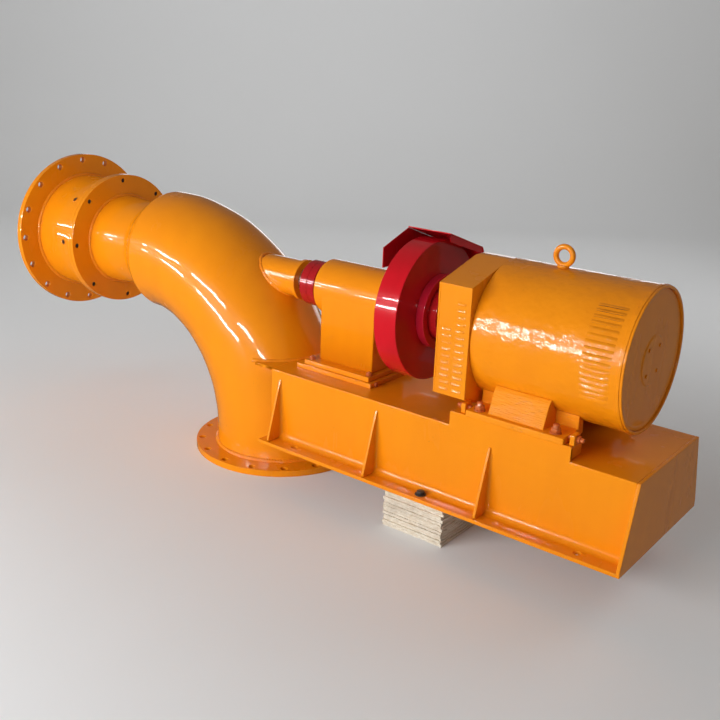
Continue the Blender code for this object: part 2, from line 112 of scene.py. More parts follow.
# %% Floor and backdrop
FLOOR_TONE = (0.84, 0.86, 0.88, 1.0)
FLOOR_ROUGHNESS = 0.85
FLOOR_FRONT = -9.0
FLOOR_HALF_WIDTH = 14.0
FLOOR_DROP = 0.0005
TURN_AT = 4.5
TURN_R = 3.0
BACKDROP_TOP = 12.0
BACKWARDS = Vector((-sin(AZIMUTH), cos(AZIMUTH), 0))


def behind(depth, height):
    """A point over the line that runs back from the set, away from the camera."""
    return BACKWARDS * depth + Vector((0, 0, height))


def add_floor():
    """A sheet that runs back and curves up behind, so that no horizon shows."""
    profile = [(FLOOR_FRONT, 0.0), (TURN_AT, 0.0)]
    for lift in range(10, 91, 10):
        profile.append((TURN_AT + TURN_R * sin(radians(lift)), TURN_R - TURN_R * cos(radians(lift))))
    profile.append((TURN_AT + TURN_R, BACKDROP_TOP))
    aside = Vector((cos(AZIMUTH), sin(AZIMUTH), 0)) * FLOOR_HALF_WIDTH
    verts = []
    for depth, height in profile:
        middle = behind(depth, height - FLOOR_DROP)
        verts += [middle - aside, middle + aside]
    faces = [(2 * i, 2 * i + 1, 2 * i + 3, 2 * i + 2) for i in range(len(profile) - 1)]
    mesh = bpy.data.meshes.new("studio_floor")
    mesh.from_pydata(verts, [], faces)
    mesh.shade_smooth()
    material = bpy.data.materials.new("studio_floor")
    material.use_nodes = True
    shader = material.node_tree.nodes["Principled BSDF"]
    shader.inputs["Base Color"].default_value = FLOOR_TONE
    shader.inputs["Roughness"].default_value = FLOOR_ROUGHNESS
    mesh.materials.append(material)
    floor = new_object("studio_floor", mesh)
    floor.visible_glossy = False
    return floor


floor = add_floor()
print("floor", [round(size, 1) for size in floor.dimensions])

# %% Room, panels and tubes
ROOM_TONE = (1.0, 0.91, 0.80, 1.0)
ROOM_STRENGTH = 0.15
TUBE_ROW_Y = -4.5
TUBE_WIDTH = 0.15
TUBE_WATTS_PER_M = 36.0
UPPER_TUBES = [(-7.8, -7.1, 1.93), (-5.6, -5.1, 1.95), (-4.6, -3.3, 2.05), (-2.65, -0.7, 2.20),
               (0.1, 1.5, 2.10), (1.9, 3.2, 1.90)]
LOWER_TUBES = [(-7.5, -6.9, 0.34), (-5.5, -5.1, 1.20), (-4.6, -3.5, 1.15), (-2.95, -0.3, 1.10)]


def add_panel(name, at, towards, size, watts, only_in_gloss=False):
    """A flat lamp that the camera never sees, for the paint or else for the gloss alone."""
    light = bpy.data.lights.new(name, "AREA")
    light.shape = "RECTANGLE"
    light.size, light.size_y = size
    light.energy = watts
    panel = new_object(name, light)
    panel.visible_camera = False
    panel.visible_glossy = only_in_gloss
    panel.visible_diffuse = not only_in_gloss
    aim = (Vector(towards) - Vector(at)).to_track_quat("-Z", "Y")
    panel.matrix_world = Matrix.Translation(at) @ aim.to_matrix().to_4x4()


def add_tube(number, x0, x1, height):
    """A thin bright panel along X that faces the machine."""
    length = x1 - x0
    at = Vector(((x0 + x1) / 2, TUBE_ROW_Y, height))
    add_panel("tube_%d" % number, at, at + Vector((0, 1, 0)), (length, TUBE_WIDTH),
              TUBE_WATTS_PER_M * length, True)


world = bpy.data.worlds.new("room")
world.use_nodes = True
background = world.node_tree.nodes["Background"]
background.inputs["Color"].default_value = ROOM_TONE
background.inputs["Strength"].default_value = ROOM_STRENGTH
bpy.context.scene.world = world
bpy.context.scene.view_settings.view_transform = "Standard"

add_panel("key_panel", (-0.8, -4.8, 1.7), (0.2, 0, 0.6), (4.4, 2.0), 262)
add_panel("fill_panel", (3.6, -3.6, 2.6), (0.4, 0, 0.5), (2.5, 2.5), 6)
add_panel("back_panel", (2.4, 3.6, 3.0), (0, 0, 0.6), (3.0, 2.0), 40)
add_panel("rim_panel", behind(5.0, 0.8), (0, 0, 0.8), (7.0, 1.0), 34, True)
add_panel("wash_panel", behind(1.5, 4.6), behind(7.4, 2.4), (8.0, 2.0), 110)
for number, tube in enumerate(UPPER_TUBES + LOWER_TUBES):
    add_tube(number, *tube)

# %% [markdown]
# ## What every paint shares
#
# Enamel sprayed on rough plate has the same three flaws everywhere: a slow drift in colour where the
# coat is thin or thick, a fine skin of ripples, and wide shallow dents from the plate under it. They
# could be painted into each material, but one node group with sockets keeps them alike and lets the
# alternator, whose thin shell is the most uneven, simply ask for more. It gives out only masks and a
# height: the shader itself stays in each material.

# %% Node group: enamel film
COLOUR_A = 6
COLOUR_B = 7
COLOUR_OUT = 2


def fill(node, values):
    """Links or sets inputs of a node, each given by its name or number."""
    for key, value in values.items():
        if isinstance(value, bpy.types.NodeSocket):
            node.id_data.links.new(value, node.inputs[key])
        else:
            node.inputs[key].default_value = value


def add_node(tree, kind, values, **settings):
    """Makes a node, with its settings before its inputs, and returns its outputs."""
    node = tree.nodes.new(kind)
    for key, value in settings.items():
        setattr(node, key, value)
    fill(node, values)
    return node.outputs


def noise(tree, vector, scale, detail=2.0, roughness=0.5):
    values = {"Vector": vector, "Scale": scale, "Detail": detail, "Roughness": roughness}
    return add_node(tree, "ShaderNodeTexNoise", values)["Fac"]


def ramp(tree, value, low, high):
    """Stretches the part of a mask between low and high over the whole of 0 to 1."""
    return add_node(tree, "ShaderNodeMapRange", {"Value": value, "From Min": low, "From Max": high})["Result"]


def math(tree, kind, *values):
    return add_node(tree, "ShaderNodeMath", dict(enumerate(values)), operation=kind)[0]


def blend_colours(tree, mask, a, b):
    values = {"Factor": mask, COLOUR_A: a, COLOUR_B: b}
    return add_node(tree, "ShaderNodeMix", values, data_type="RGBA")[COLOUR_OUT]


def stretched(tree, vector, scale, slant=0.0):
    values = {"Vector": vector, "Scale": scale, "Rotation": (0.0, slant, 0.0)}
    return add_node(tree, "ShaderNodeMapping", values)["Vector"]


def build_enamel_film():
    tree = bpy.data.node_groups.new("enamel_film", "ShaderNodeTree")
    tree.interface.new_socket("Vector", in_out="INPUT", socket_type="NodeSocketVector")
    for label in ("Ripple", "Dent"):
        tree.interface.new_socket(label, in_out="INPUT", socket_type="NodeSocketFloat").default_value = 0.3
    for label in ("Drift", "Grime", "Height"):
        tree.interface.new_socket(label, in_out="OUTPUT", socket_type="NodeSocketFloat")
    given = tree.nodes.new("NodeGroupInput").outputs
    where = given["Vector"]
    slow = ramp(tree, noise(tree, where, 2.4, 3.0), 0.32, 0.68)
    runs = ramp(tree, noise(tree, stretched(tree, where, (9.0, 9.0, 1.6)), 1.6, 3.0), 0.35, 0.70)
    specks = ramp(tree, noise(tree, where, 160.0), 0.66, 0.74)
    patches = ramp(tree, noise(tree, where, 5.5, 4.0, 0.6), 0.52, 0.72)
    fine = math(tree, "MULTIPLY", given["Ripple"], 0.05)
    wide = math(tree, "MULTIPLY", given["Ripple"], 0.35)
    peel = math(tree, "MULTIPLY", noise(tree, where, 240.0, 1.0), fine)
    wave = math(tree, "MULTIPLY", noise(tree, where, 42.0, 1.0), wide)
    dents = math(tree, "MULTIPLY", noise(tree, where, 11.0, 1.0), given["Dent"])
    fill(tree.nodes.new("NodeGroupOutput"), {
        "Drift": math(tree, "MULTIPLY_ADD", slow, 0.6, math(tree, "MULTIPLY", runs, 0.4)),
        "Grime": math(tree, "MULTIPLY", specks, patches),
        "Height": math(tree, "ADD", math(tree, "ADD", peel, wave), dents)})
    return tree


enamel_film = build_enamel_film()
print("group", enamel_film.name, [s.name for s in enamel_film.interface.items_tree])

# %% [markdown]
# ## Paints and metals
#
# The set wears one orange and two reds. A third, darker red is painted shade on the flywheel's and the
# drive coupling's side faces and on the couplings. Each enamel mixes a thick and a thin tone by the drift
# mask, so no face is one flat colour, and carries a clear coat for the hard reflections of the tubes. Turned
# steel is grey metal with fine rings round the shaft; plywood edges are pale and dark layers in turn.

# %% Materials
GRIME_SHARE = 0.45
THIN_FILM_DULLNESS = 0.10
FILM_DEPTH = 0.004
CLEAR_ROUGHNESS = 0.03
UNDER_CLEAR_SHINE = 0.12
BRUSH_STRETCH = (30.0, 30.0, 230.0)
BRUSH_SLANT = radians(28)
TURNING_MARKS = (900.0, 20.0, 20.0)
FIBRE_STRETCH = (60.0, 6.0, 240.0)
PLY_WAVES = 105.0


def start_material(name):
    material = bpy.data.materials.new(name)
    material.use_nodes = True
    tree = material.node_tree
    where = tree.nodes.new("ShaderNodeTexCoord").outputs["Object"]
    return material, tree, tree.nodes["Principled BSDF"], where


def bump(tree, height, distance):
    values = {"Height": height, "Distance": distance, "Strength": 1.0}
    return add_node(tree, "ShaderNodeBump", values)["Normal"]


def enamel(name, thick, thin, grime, ripple=0.30, dent=0.30, gloss=0.20, strokes=0.0, clear=0.70):
    material, tree, shader, where = start_material(name)
    values = {"Vector": where, "Ripple": ripple, "Dent": dent}
    film = add_node(tree, "ShaderNodeGroup", values, node_tree=enamel_film)
    coat = blend_colours(tree, film["Drift"], thick, thin)
    dirty = math(tree, "MULTIPLY", film["Grime"], GRIME_SHARE)
    height = film["Height"]
    if strokes:
        brushed = noise(tree, stretched(tree, where, BRUSH_STRETCH, BRUSH_SLANT), 1.0, 3.0)
        height = math(tree, "ADD", height, math(tree, "MULTIPLY", brushed, strokes))
    normal = bump(tree, height, FILM_DEPTH)
    fill(shader, {
        "Base Color": blend_colours(tree, dirty, coat, grime),
        "Roughness": math(tree, "MULTIPLY_ADD", film["Drift"], THIN_FILM_DULLNESS, gloss),
        "Specular IOR Level": UNDER_CLEAR_SHINE,
        "Coat Weight": clear,
        "Coat Roughness": CLEAR_ROUGHNESS,
        "Normal": normal,
        "Coat Normal": normal})
    return material


def turned_steel(name, tone, worn):
    material, tree, shader, where = start_material(name)
    stain = ramp(tree, noise(tree, where, 14.0, 4.0, 0.6), 0.45, 0.75)
    fill(shader, {
        "Base Color": blend_colours(tree, stain, tone, worn),
        "Metallic": 1.0,
        "Roughness": math(tree, "MULTIPLY_ADD", stain, 0.22, 0.26),
        "Normal": bump(tree, noise(tree, stretched(tree, where, TURNING_MARKS), 1.0), 0.0006)})
    return material


def dull(name, tone, edge, roughness):
    material, tree, shader, where = start_material(name)
    mottle = ramp(tree, noise(tree, where, 60.0, 3.0), 0.35, 0.70)
    fill(shader, {
        "Base Color": blend_colours(tree, mottle, tone, edge),
        "Roughness": roughness,
        "Normal": bump(tree, noise(tree, where, 320.0), 0.0008)})
    return material


def plywood(name, pale, dark, streak, handled):
    """Thin plies seen on edge: layers along Z, broken by voids and stained by handling."""
    material, tree, shader, where = start_material(name)
    values = {"Vector": where, "Scale": PLY_WAVES, "Distortion": 1.6, "Detail": 2.0, "Detail Scale": 0.4}
    layers = add_node(tree, "ShaderNodeTexWave", values, bands_direction="Z")["Fac"]
    fibre = noise(tree, stretched(tree, where, FIBRE_STRETCH), 1.0, 4.0, 0.6)
    plies = blend_colours(tree, ramp(tree, layers, 0.25, 0.75), pale, dark)
    streaked = blend_colours(tree, ramp(tree, fibre, 0.40, 0.72), plies, streak)
    stain = ramp(tree, noise(tree, where, 9.0, 4.0, 0.6), 0.50, 0.80)
    fill(shader, {
        "Base Color": blend_colours(tree, math(tree, "MULTIPLY", stain, 0.55), streaked, handled),
        "Roughness": 0.82,
        "Normal": bump(tree, math(tree, "ADD", layers, fibre), 0.0008)})
    return material

# %% The finishes of this set
ORANGE_THICK = (0.86, 0.275, 0.005, 1.0)
ORANGE_THIN = (0.80, 0.240, 0.004, 1.0)
ORANGE_GRIME = (0.30, 0.10, 0.02, 1.0)
ORANGE = (ORANGE_THICK, ORANGE_THIN, ORANGE_GRIME)
RED_GRIME = (0.12, 0.01, 0.01, 1.0)

orange = enamel("orange_enamel", *ORANGE, 0.15, 0.15)
orange_shell = enamel("orange_enamel_on_thin_shell", *ORANGE, 1.4, 1.0)
orange_cast = enamel("orange_enamel_on_casting", *ORANGE, 0.6, 0.5, 0.46, 0.60, 0.12)
# A darker orange for bolts: painted shade for the pockets and corners they sit in
orange_bolt_painted_shade = enamel("orange_enamel_on_bolts_painted_shade", (0.62, 0.15, 0.03, 1.0), (0.40, 0.08, 0.03, 1.0),
                     ORANGE_GRIME, 0.6)
orange_weld = enamel("orange_enamel_on_weld", ORANGE_THICK, (0.80, 0.20, 0.01, 1.0), ORANGE_GRIME,
                     2.2, 0.5, 0.26)
red = enamel("red_enamel", (0.60, 0.006, 0.016, 1.0), (0.46, 0.004, 0.010, 1.0), RED_GRIME, 0.15, 0.1)
crimson = enamel("crimson_enamel", (0.50, 0.012, 0.035, 1.0), (0.40, 0.008, 0.022, 1.0), RED_GRIME, 0.3, 0.2)
# A darker copy of the red, painted shade: for the side faces of the wheel and drive coupling, and for the
# couplings, which sit out of the light
red_painted_shade = enamel("red_enamel_painted_shade", (0.43, 0.010, 0.014, 1.0), (0.34, 0.007, 0.010, 1.0), RED_GRIME, 0.3, 0.2)
steel = turned_steel("turned_steel", (0.62, 0.62, 0.63, 1.0), (0.38, 0.35, 0.31, 1.0))
black = dull("black_fastener", (0.015, 0.015, 0.017, 1.0), (0.05, 0.045, 0.04, 1.0), 0.45)
shadow = dull("unlit_gap", (0.10, 0.030, 0.004, 1.0), (0.06, 0.018, 0.003, 1.0), 0.80)
core = dull("varnished_core", (0.05, 0.03, 0.02, 1.0), (0.12, 0.07, 0.04, 1.0), 0.50)
timber = plywood("plywood_edges", (0.80, 0.70, 0.55, 1.0), (0.58, 0.46, 0.33, 1.0), (0.88, 0.82, 0.72, 1.0),
                 (0.20, 0.14, 0.09, 1.0))
print("materials", len(bpy.data.materials))

# %% [markdown]
# ## Making meshes
#
# Nearly everything here is turned, cut from plate or bolted on. A turned piece is a ring of points
# spun about a line. Every corner of its section is first eased into a short curve, because a dead
# sharp edge never catches light. Small parts that repeat are gathered into one object by Shape.
# A Weighted Normal modifier then keeps the big faces flat while the eased corners shade round.

# %% Spinning and easing
ON_AXIS = 1e-6


def rounded(loop, size, steps=4, share=0.4, only=None):
    """The closed loop with its corners, or only those with the given numbers, swapped for curves."""
    out = []
    for i, corner in enumerate(loop):
        p = Vector(corner)
        if only is not None and i not in only:
            out.append(p)
            continue
        before = Vector(loop[i - 1]) - p
        after = Vector(loop[(i + 1) % len(loop)]) - p
        cut = min(size, before.length * share, after.length * share)
        start = p + before.normalized() * cut
        end = p + after.normalized() * cut
        for k in range(steps + 1):
            t = k / steps
            out.append(start.lerp(p, t).lerp(p.lerp(end, t), t))
    return out


def eased(section, ease):
    """Rounds the corners of a closed (along, radius) section, apart from those on its middle line."""
    return rounded(section, ease, 3, 0.42, [i for i, p in enumerate(section) if p[1] >= ON_AXIS])


def hexagon(flats, angle):
    """Distance from the middle to the side of a hexagon in a given direction."""
    return flats / 2 / cos((angle % (pi / 3)) - pi / 6)


def band(a, b, count):
    """Faces between two closed rings of points that start at numbers a and b."""
    return [(a + k, a + (k + 1) % count, b + (k + 1) % count, b + k) for k in range(count)]


def spun(section, sides, closed=True):
    """Spins (along, radius) points about local Z; a third value marks a hexagon by its flats."""
    verts, starts = [], []
    for height, r, *marked in section:
        starts.append(len(verts))
        if r < ON_AXIS:
            verts.append(Vector((0, 0, height)))
            continue
        for k in range(sides):
            a = 2 * pi * k / sides
            reach = hexagon(2 * r, a) if marked else r
            verts.append(Vector((reach * cos(a), reach * sin(a), height)))
    faces = []
    for i in range(len(section) if closed else len(section) - 1):
        j = (i + 1) % len(section)
        poles = [section[i][1] < ON_AXIS, section[j][1] < ON_AXIS]
        if poles == [False, False]:
            faces += band(starts[i], starts[j], sides)
        elif poles != [True, True]:
            tip, ring = (starts[i], starts[j]) if poles[0] else (starts[j], starts[i])
            faces += [(tip, ring + k, ring + (k + 1) % sides) for k in range(sides)]
    return verts, faces


def along(axis, at):
    """Matrix that stands local Z in the direction of axis at a point."""
    return Matrix.Translation(at) @ Vector(axis).to_track_quat("Z", "Y").to_matrix().to_4x4()


SHAFT = along((1, 0, 0), (0, 0, AXIS_Z))
UP = (0, 0, 1)
print("a hexagon of 24 mm flats reaches", round(1000 * hexagon(0.024, 0), 1), "mm")

# %% Gathering solids into pieces
def hand_over(obj, body, nodes):
    """Evens the shading and says what carries the piece and what it replaces."""
    obj.modifiers.new("even_shading", "WEIGHTED_NORMAL").keep_sharp = True
    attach(obj, body)
    if nodes:
        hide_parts(*nodes)
    return obj


class Shape:
    """Gathers simple solids so that many like ones share one object."""

    def __init__(self):
        self.verts = []
        self.faces = []
        self.tints = []

    def add(self, solid, place=Matrix.Identity(4), tint=0):
        """Adds a solid; tint is the number of its material, or a list with one number for each face."""
        first = len(self.verts)
        self.verts += [place @ Vector(v) for v in solid[0]]
        self.faces += [tuple(first + i for i in face) for face in solid[1]]
        self.tints += tint if isinstance(tint, list) else [tint] * len(solid[1])
        return self

    def ring(self, solid, count, radius, x, way=1, turn=0.0):
        """Stands copies of a solid in a circle round the shaft line, on a face that looks along X."""
        for k in range(count):
            a = 2 * pi * k / count + turn
            self.add(solid, along((way, 0, 0), (x, radius * cos(a), AXIS_Z + radius * sin(a))))
        return self

    def piece(self, name, materials, slot="orange_paint", body="set", nodes=(), sharp=None):
        mesh = bpy.data.meshes.new(name)
        mesh.from_pydata(self.verts, [], self.faces)
        for material in materials:
            mesh.materials.append(material)
        mesh.polygons.foreach_set("material_index", self.tints)
        tidy = bmesh.new()
        tidy.from_mesh(mesh)
        bmesh.ops.recalc_face_normals(tidy, faces=tidy.faces)
        tidy.to_mesh(mesh)
        tidy.free()
        mesh.shade_smooth()
        if sharp:
            mesh.set_sharp_from_angle(angle=radians(sharp))
        return hand_over(new_object(name, mesh), body, nodes)


def turned_piece(name, section, material, slot="orange_paint", body="set", nodes=(), sides=144, ease=0.002):
    return Shape().add(spun(eased(section, ease), sides), SHAFT).piece(name, [material], slot, body, nodes)


def size_of(node):
    """Start and end along the shaft and the outer radius of a turned node."""
    low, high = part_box(node)
    return low.x, high.x, (high.y - low.y) / 2


def tube_of(node, bore=0.0, end_bore=None):
    """Section of a node that is a plain disc or tube, with another bore at its end where one is given."""
    x0, x1, r = size_of(node)
    return [(x0, bore), (x0, r), (x1, r), (x1, bore if end_bore is None else end_bore)]


print("bearing shaft from, to and radius", [round(value, 4) for value in size_of("bearing_shaft")])

# %% [markdown]
# ## Flanges and plates
#
# A flange is plate with a ring of holes. Booleans would cut them, but drawing the outline and the
# holes together and filling between them gives the same plate with clean round holes. The rims are
# built as stacked copies of each loop, the outermost drawn in a little, which gives the eased edge.

# %% Plates with holes
def drawn_in(loop, amount):
    """The loop moved to its inner side by the amount, corners kept by mitring."""
    out = []
    count = len(loop)
    area = sum(loop[i - 1][0] * loop[i][1] - loop[i][0] * loop[i - 1][1] for i in range(count))
    turn = 1.0 if area > 0 else -1.0
    for i in range(count):
        p = Vector(loop[i])
        a = (p - Vector(loop[i - 1])).normalized()
        b = (Vector(loop[(i + 1) % count]) - p).normalized()
        na, nb = Vector((-a.y, a.x)) * turn, Vector((-b.y, b.x)) * turn
        mitre = (na + nb).normalized()
        out.append(tuple(p + mitre * (amount / max(0.3, mitre.dot(na)))))
    return out


def placed(axis, u, v, w):
    return {"X": (w, u, v), "Y": (u, w, v), "Z": (u, v, w)}[axis]


HOLE_SIDES = 24


def slab(outline, axis, low, high, ease=0.0015, holes=()):
    """Plate between two depths along an axis, with eased rims round its outline and its holes."""
    verts, faces = [], []
    levels = [(low, ease), (low + 0.3 * ease, 0.3 * ease), (low + ease, 0.0), (high - ease, 0.0),
              (high - 0.3 * ease, 0.3 * ease), (high, ease)]
    caps = [[], []]
    for number, loop in enumerate([outline] + list(holes)):
        side = 1.0 if number == 0 else -1.0
        rings = []
        for depth, inset in levels:
            rings.append(len(verts))
            verts += [placed(axis, u, v, depth) for u, v in drawn_in(loop, inset * side)]
        for a, b in zip(rings, rings[1:]):
            faces += band(a, b, len(loop))
        for cap, ring in zip(caps, (rings[0], rings[-1])):
            cap.append((ring, drawn_in(loop, ease * side)))
    for cap in caps:
        flat = [ring + k for ring, loop in cap for k in range(len(loop))]
        filled = tessellate_polygon([[Vector((u, v, 0)) for u, v in loop] for _, loop in cap])
        faces += [tuple(flat[i] for i in tri) for tri in filled]
    return verts, faces


def circle(radius, steps, middle=(0.0, 0.0)):
    return [(middle[0] + radius * cos(2 * pi * k / steps), middle[1] + radius * sin(2 * pi * k / steps))
            for k in range(steps)]


def hole_ring(count, pitch_radius, radius):
    return [circle(radius, HOLE_SIDES, middle) for middle in circle(pitch_radius, count)]


def oblong(u0, v0, u1, v1):
    return [(u0, v0), (u1, v0), (u1, v1), (u0, v1)]

# %% The three flanges with open holes
CHAMBER_WALL = 0.012
DRAFT_WALL = 0.010
CHAMBER_R = size_of("runner_chamber")[2]
CHAMBER_BORE = CHAMBER_R - CHAMBER_WALL
OUTLET_X = sum(corner.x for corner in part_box("outlet_flange")) / 2
PIPE_HOLES = 16
PIPE_CIRCLE_R = 0.325
PIPE_HOLE_R = 0.013
JOINT_HOLES = 8
JOINT_CIRCLE_R = 0.262
JOINT_HOLE_R = 0.0095
NECK_R = 0.196
WAIST_R = 0.180


def flange_plate(node, axis, middle, bore_r, sides, holes):
    """A round plate with a wide bore; sides are those of its rim and of its bore."""
    low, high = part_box(node)
    depth = "XYZ".index(axis)
    rim = circle((high.y - low.y) / 2, sides[0])
    plate = slab(rim, axis, low[depth], high[depth], holes=[circle(bore_r, sides[1])] + holes)
    Shape().add(plate, Matrix.Translation(middle)).piece(node + "_plate", [orange], nodes=[node])


pipe_holes = hole_ring(PIPE_HOLES, PIPE_CIRCLE_R, PIPE_HOLE_R)
joint_holes = hole_ring(JOINT_HOLES, JOINT_CIRCLE_R, JOINT_HOLE_R)
outlet_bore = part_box("bend_piece_7")[1].y - DRAFT_WALL
flange_plate("inlet_flange", "X", (0, 0, AXIS_Z), CHAMBER_BORE, (160, 128), pipe_holes)
flange_plate("draft_flange", "X", (0, 0, AXIS_Z), NECK_R - DRAFT_WALL, (144, 112), joint_holes)
flange_plate("outlet_flange", "Z", (OUTLET_X, 0, 0), outlet_bore, (160, 128), pipe_holes)
print("flanges 3, bolt holes", 2 * PIPE_HOLES + JOINT_HOLES)

# %% [markdown]
# ## Chamber, throat and cone
#
# These are rolled plate, so in section they are thin strips. Only the corners matter: they are eased
# and then hidden under weld beads.

# %% Turned pieces of the turbine
THROAT_BORES = (0.200, 0.170)
SEAM_EASE = 0.0003
FLARE_STEPS = 18
FLARE_END_SLOPE = 0.30
neck_x0, waist_x, _ = size_of("draft_neck")
cone_x0, cone_x1, cone_r = size_of("draft_cone")
nose_x0, nose_x1, nose_r = size_of("hub_nose")


def walled(line):
    """Section of the draft tube's wall under an outer line of (along, radius) points."""
    return line + [(x, r - DRAFT_WALL) for x, r in reversed(line)]


def flare_line():
    """Leaves the neck without a break and swings into the bend, so that no seam shows at the waist."""
    neck_slope = (WAIST_R - NECK_R) / (waist_x - neck_x0)
    length = cone_x1 - cone_x0
    line = []
    for k in range(FLARE_STEPS + 1):
        t = k / FLARE_STEPS
        lift = (WAIST_R - cone_r) * (2 * t ** 3 - 3 * t ** 2) + WAIST_R
        lean = length * (neck_slope * (t ** 3 - 2 * t ** 2 + t) + FLARE_END_SLOPE * (t ** 3 - t ** 2))
        line.append((cone_x0 + length * t, lift + lean))
    return line


def dome_line():
    arc = [radians(9 * k) for k in range(10)]
    line = [(nose_x1 - (nose_x1 - nose_x0) * sin(a), nose_r * cos(a)) for a in arc]
    return [(nose_x1, 0.0)] + line + [(nose_x0, 0.0)]


turned_piece("runner_chamber_shell", tube_of("runner_chamber", CHAMBER_BORE), orange,
             nodes=["runner_chamber"])
turned_piece("throat_flange", tube_of("chamber_flange", *THROAT_BORES), orange, nodes=["chamber_flange"])
turned_piece("draft_neck_shell", walled([(neck_x0, NECK_R), (waist_x, WAIST_R)]), orange,
             nodes=["draft_neck"], ease=SEAM_EASE)
turned_piece("draft_cone_shell", walled(flare_line()), orange, nodes=["draft_cone"], ease=SEAM_EASE)
turned_piece("hub_nose_cap", dome_line(), orange, nodes=["hub_nose"], sides=64, ease=0.0005)
print("chamber radius", round(CHAMBER_R, 3), "waist at", round(waist_x, 3))

# %% [markdown]
# ## The dressed bend
#
# The draft tube turns down in seven straight pieces whose mitres were filled and ground until they
# hardly show. So the skin lies between two shapes: mostly a smooth ring, a quarter of the way out to
# the mitred pipe. That quarter is what makes the tubes' reflections step along the bend.

# %% Bend skin
BEND_LINE_R = 0.640
BEND_CUTS = 6
BEND_IN_R = 0.252
BEND_OUT_R = 0.262
BEND_STEP = pi / 2 / BEND_CUTS
BEND_FLATS = 0.25
BEND_SIDES = 144
BEND_RINGS = 60
BEND_BORE_RINGS = 12


def bend_rings(steps):
    """Centre, direction and the two radii of rings along the bend, from its start to its foot."""
    turn_centre = Vector((OUTLET_X - BEND_LINE_R, 0, AXIS_Z - BEND_LINE_R))
    rings = []
    for k in range(steps + 1):
        a = pi / 2 * k / steps
        off = a - BEND_STEP * round(a / BEND_STEP)
        stretch = 1 + BEND_FLATS * (1 / cos(off) - 1)
        centre = turn_centre + Vector((sin(a), 0, cos(a))) * (BEND_LINE_R * stretch)
        r = BEND_IN_R + (BEND_OUT_R - BEND_IN_R) * k / steps
        rings.append((centre, Vector((cos(a), 0, -sin(a))), r, r * stretch))
    foot = Vector((OUTLET_X, 0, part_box("bend_piece_7")[0].z))
    rings.append((foot, Vector((0, 0, -1)), BEND_OUT_R, BEND_OUT_R))
    return rings


def ring_loop(ring, grow, sides=BEND_SIDES):
    centre, ahead, across_r, up_r = ring
    across = Vector((0, 1, 0))
    up = ahead.cross(across).normalized()
    return [centre + across * ((across_r + grow) * u) + up * ((up_r + grow) * v)
            for u, v in circle(1.0, sides)]


def joined_loops(outer, inner):
    """Closes two sets of loops, one outside the other, into one wall."""
    loops = outer + inner[::-1]
    sides = len(loops[0])
    faces = []
    for i in range(len(loops)):
        faces += band(i * sides, (i + 1) % len(loops) * sides, sides)
    return [p for loop in loops for p in loop], faces


outside = [ring_loop(ring, 0.0) for ring in bend_rings(BEND_RINGS)]
inside = [ring_loop(ring, -DRAFT_WALL) for ring in bend_rings(BEND_BORE_RINGS)]
bend_nodes = ["bend_piece_%d" % n for n in range(1, BEND_CUTS + 2)]
bend = Shape().add(joined_loops(outside, inside))
bend.piece("draft_bend_skin", [orange], nodes=bend_nodes, sharp=50)
print("bend pieces", len(bend_nodes), "faces", len(bend.faces))

# %% [markdown]
# ## Weld beads
#
# Fillets run where pipe meets flange, round the boss and where the deck of the base meets the bend.
# A bead is a small rounded ridge whose width breathes as the welder's hand moves. Following a path
# with a tiny lens-shaped section gives that; the ripple is a sine plus a slower wander so that it
# doesn't look machined.

# %% Beads along rings
BEAD_LIFT = 0.002
BEAD_BED = 0.0004
BEAD_POINTS = 7
RING_POINTS = 480


def bead(path, outward, width, height, ripples=150, seed=1, closed=True):
    """A bead along a row of points; outward gives the direction away from the metal."""
    count = len(path)
    wander = Random(seed).random() * 6.0
    verts, faces = [], []
    for i, p in enumerate(path):
        after = path[(i + 1) % count] if closed else path[min(i + 1, count - 1)]
        before = path[i - 1] if closed else path[max(i - 1, 0)]
        up = outward[i]
        side = (after - before).normalized().cross(up).normalized()
        turn = 2 * pi * i / count
        swell = 1.0 + 0.10 * sin(turn * ripples) + 0.09 * sin(5 * turn + wander)
        swell += 0.05 * sin(11 * turn + wander)
        for k in range(BEAD_POINTS):
            a = pi * k / (BEAD_POINTS - 1)
            verts.append(p + side * (cos(a) * width * swell / 2) + up * (sin(a) * height * swell - BEAD_BED))
    for i in range(count if closed else count - 1):
        faces += band(i * BEAD_POINTS, (i + 1) % count * BEAD_POINTS, BEAD_POINTS)
    if not closed:
        faces += [tuple(range(BEAD_POINTS)), tuple(range(len(verts) - BEAD_POINTS, len(verts)))]
    return verts, faces


def corner_bead(x, radius, lean, size, seed):
    """A fillet round the shaft line where a pipe meets a flange; lean tips it towards the open side."""
    path = [Vector((x, y, AXIS_Z + z)) for y, z in circle(radius, RING_POINTS)]
    tip = Vector((lean, 0, 0))
    outward = [(Vector((0, p.y, p.z - AXIS_Z)).normalized() + tip).normalized() for p in path]
    return bead(path, outward, size, size * 0.42, seed=seed)


welds = Shape()
joint_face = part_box("draft_flange")[1].x
for x, radius, lean, size, seed in ((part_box("inlet_flange")[1].x, CHAMBER_R, 1.0, 0.016, 1),
                                    (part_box("chamber_flange")[0].x, CHAMBER_R, -1.0, 0.014, 2),
                                    (joint_face, NECK_R, 1.0, 0.014, 3)):
    welds.add(corner_bead(x + lean * BEAD_LIFT, radius + BEAD_LIFT, lean, size, seed))
foot = Vector((OUTLET_X, 0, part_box("outlet_flange")[1].z + BEAD_LIFT))
path = ring_loop((foot, Vector((0, 0, -1)), BEND_OUT_R, BEND_OUT_R), BEAD_LIFT, RING_POINTS)
outward = [((p - foot).normalized() + Vector(UP)).normalized() for p in path]
welds.add(bead(path, outward, 0.018, 0.0075, seed=20))
print("ring welds 4, faces", len(welds.faces))

# %% Beads on the bend
BOSS_STEP = 0.008
DECK_BEAD_HALF = 0.224
DECK_BEAD_STEPS = 150
boss_x0, boss_x1, boss_r = size_of("shaft_boss")
deck_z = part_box("base_top")[1].z


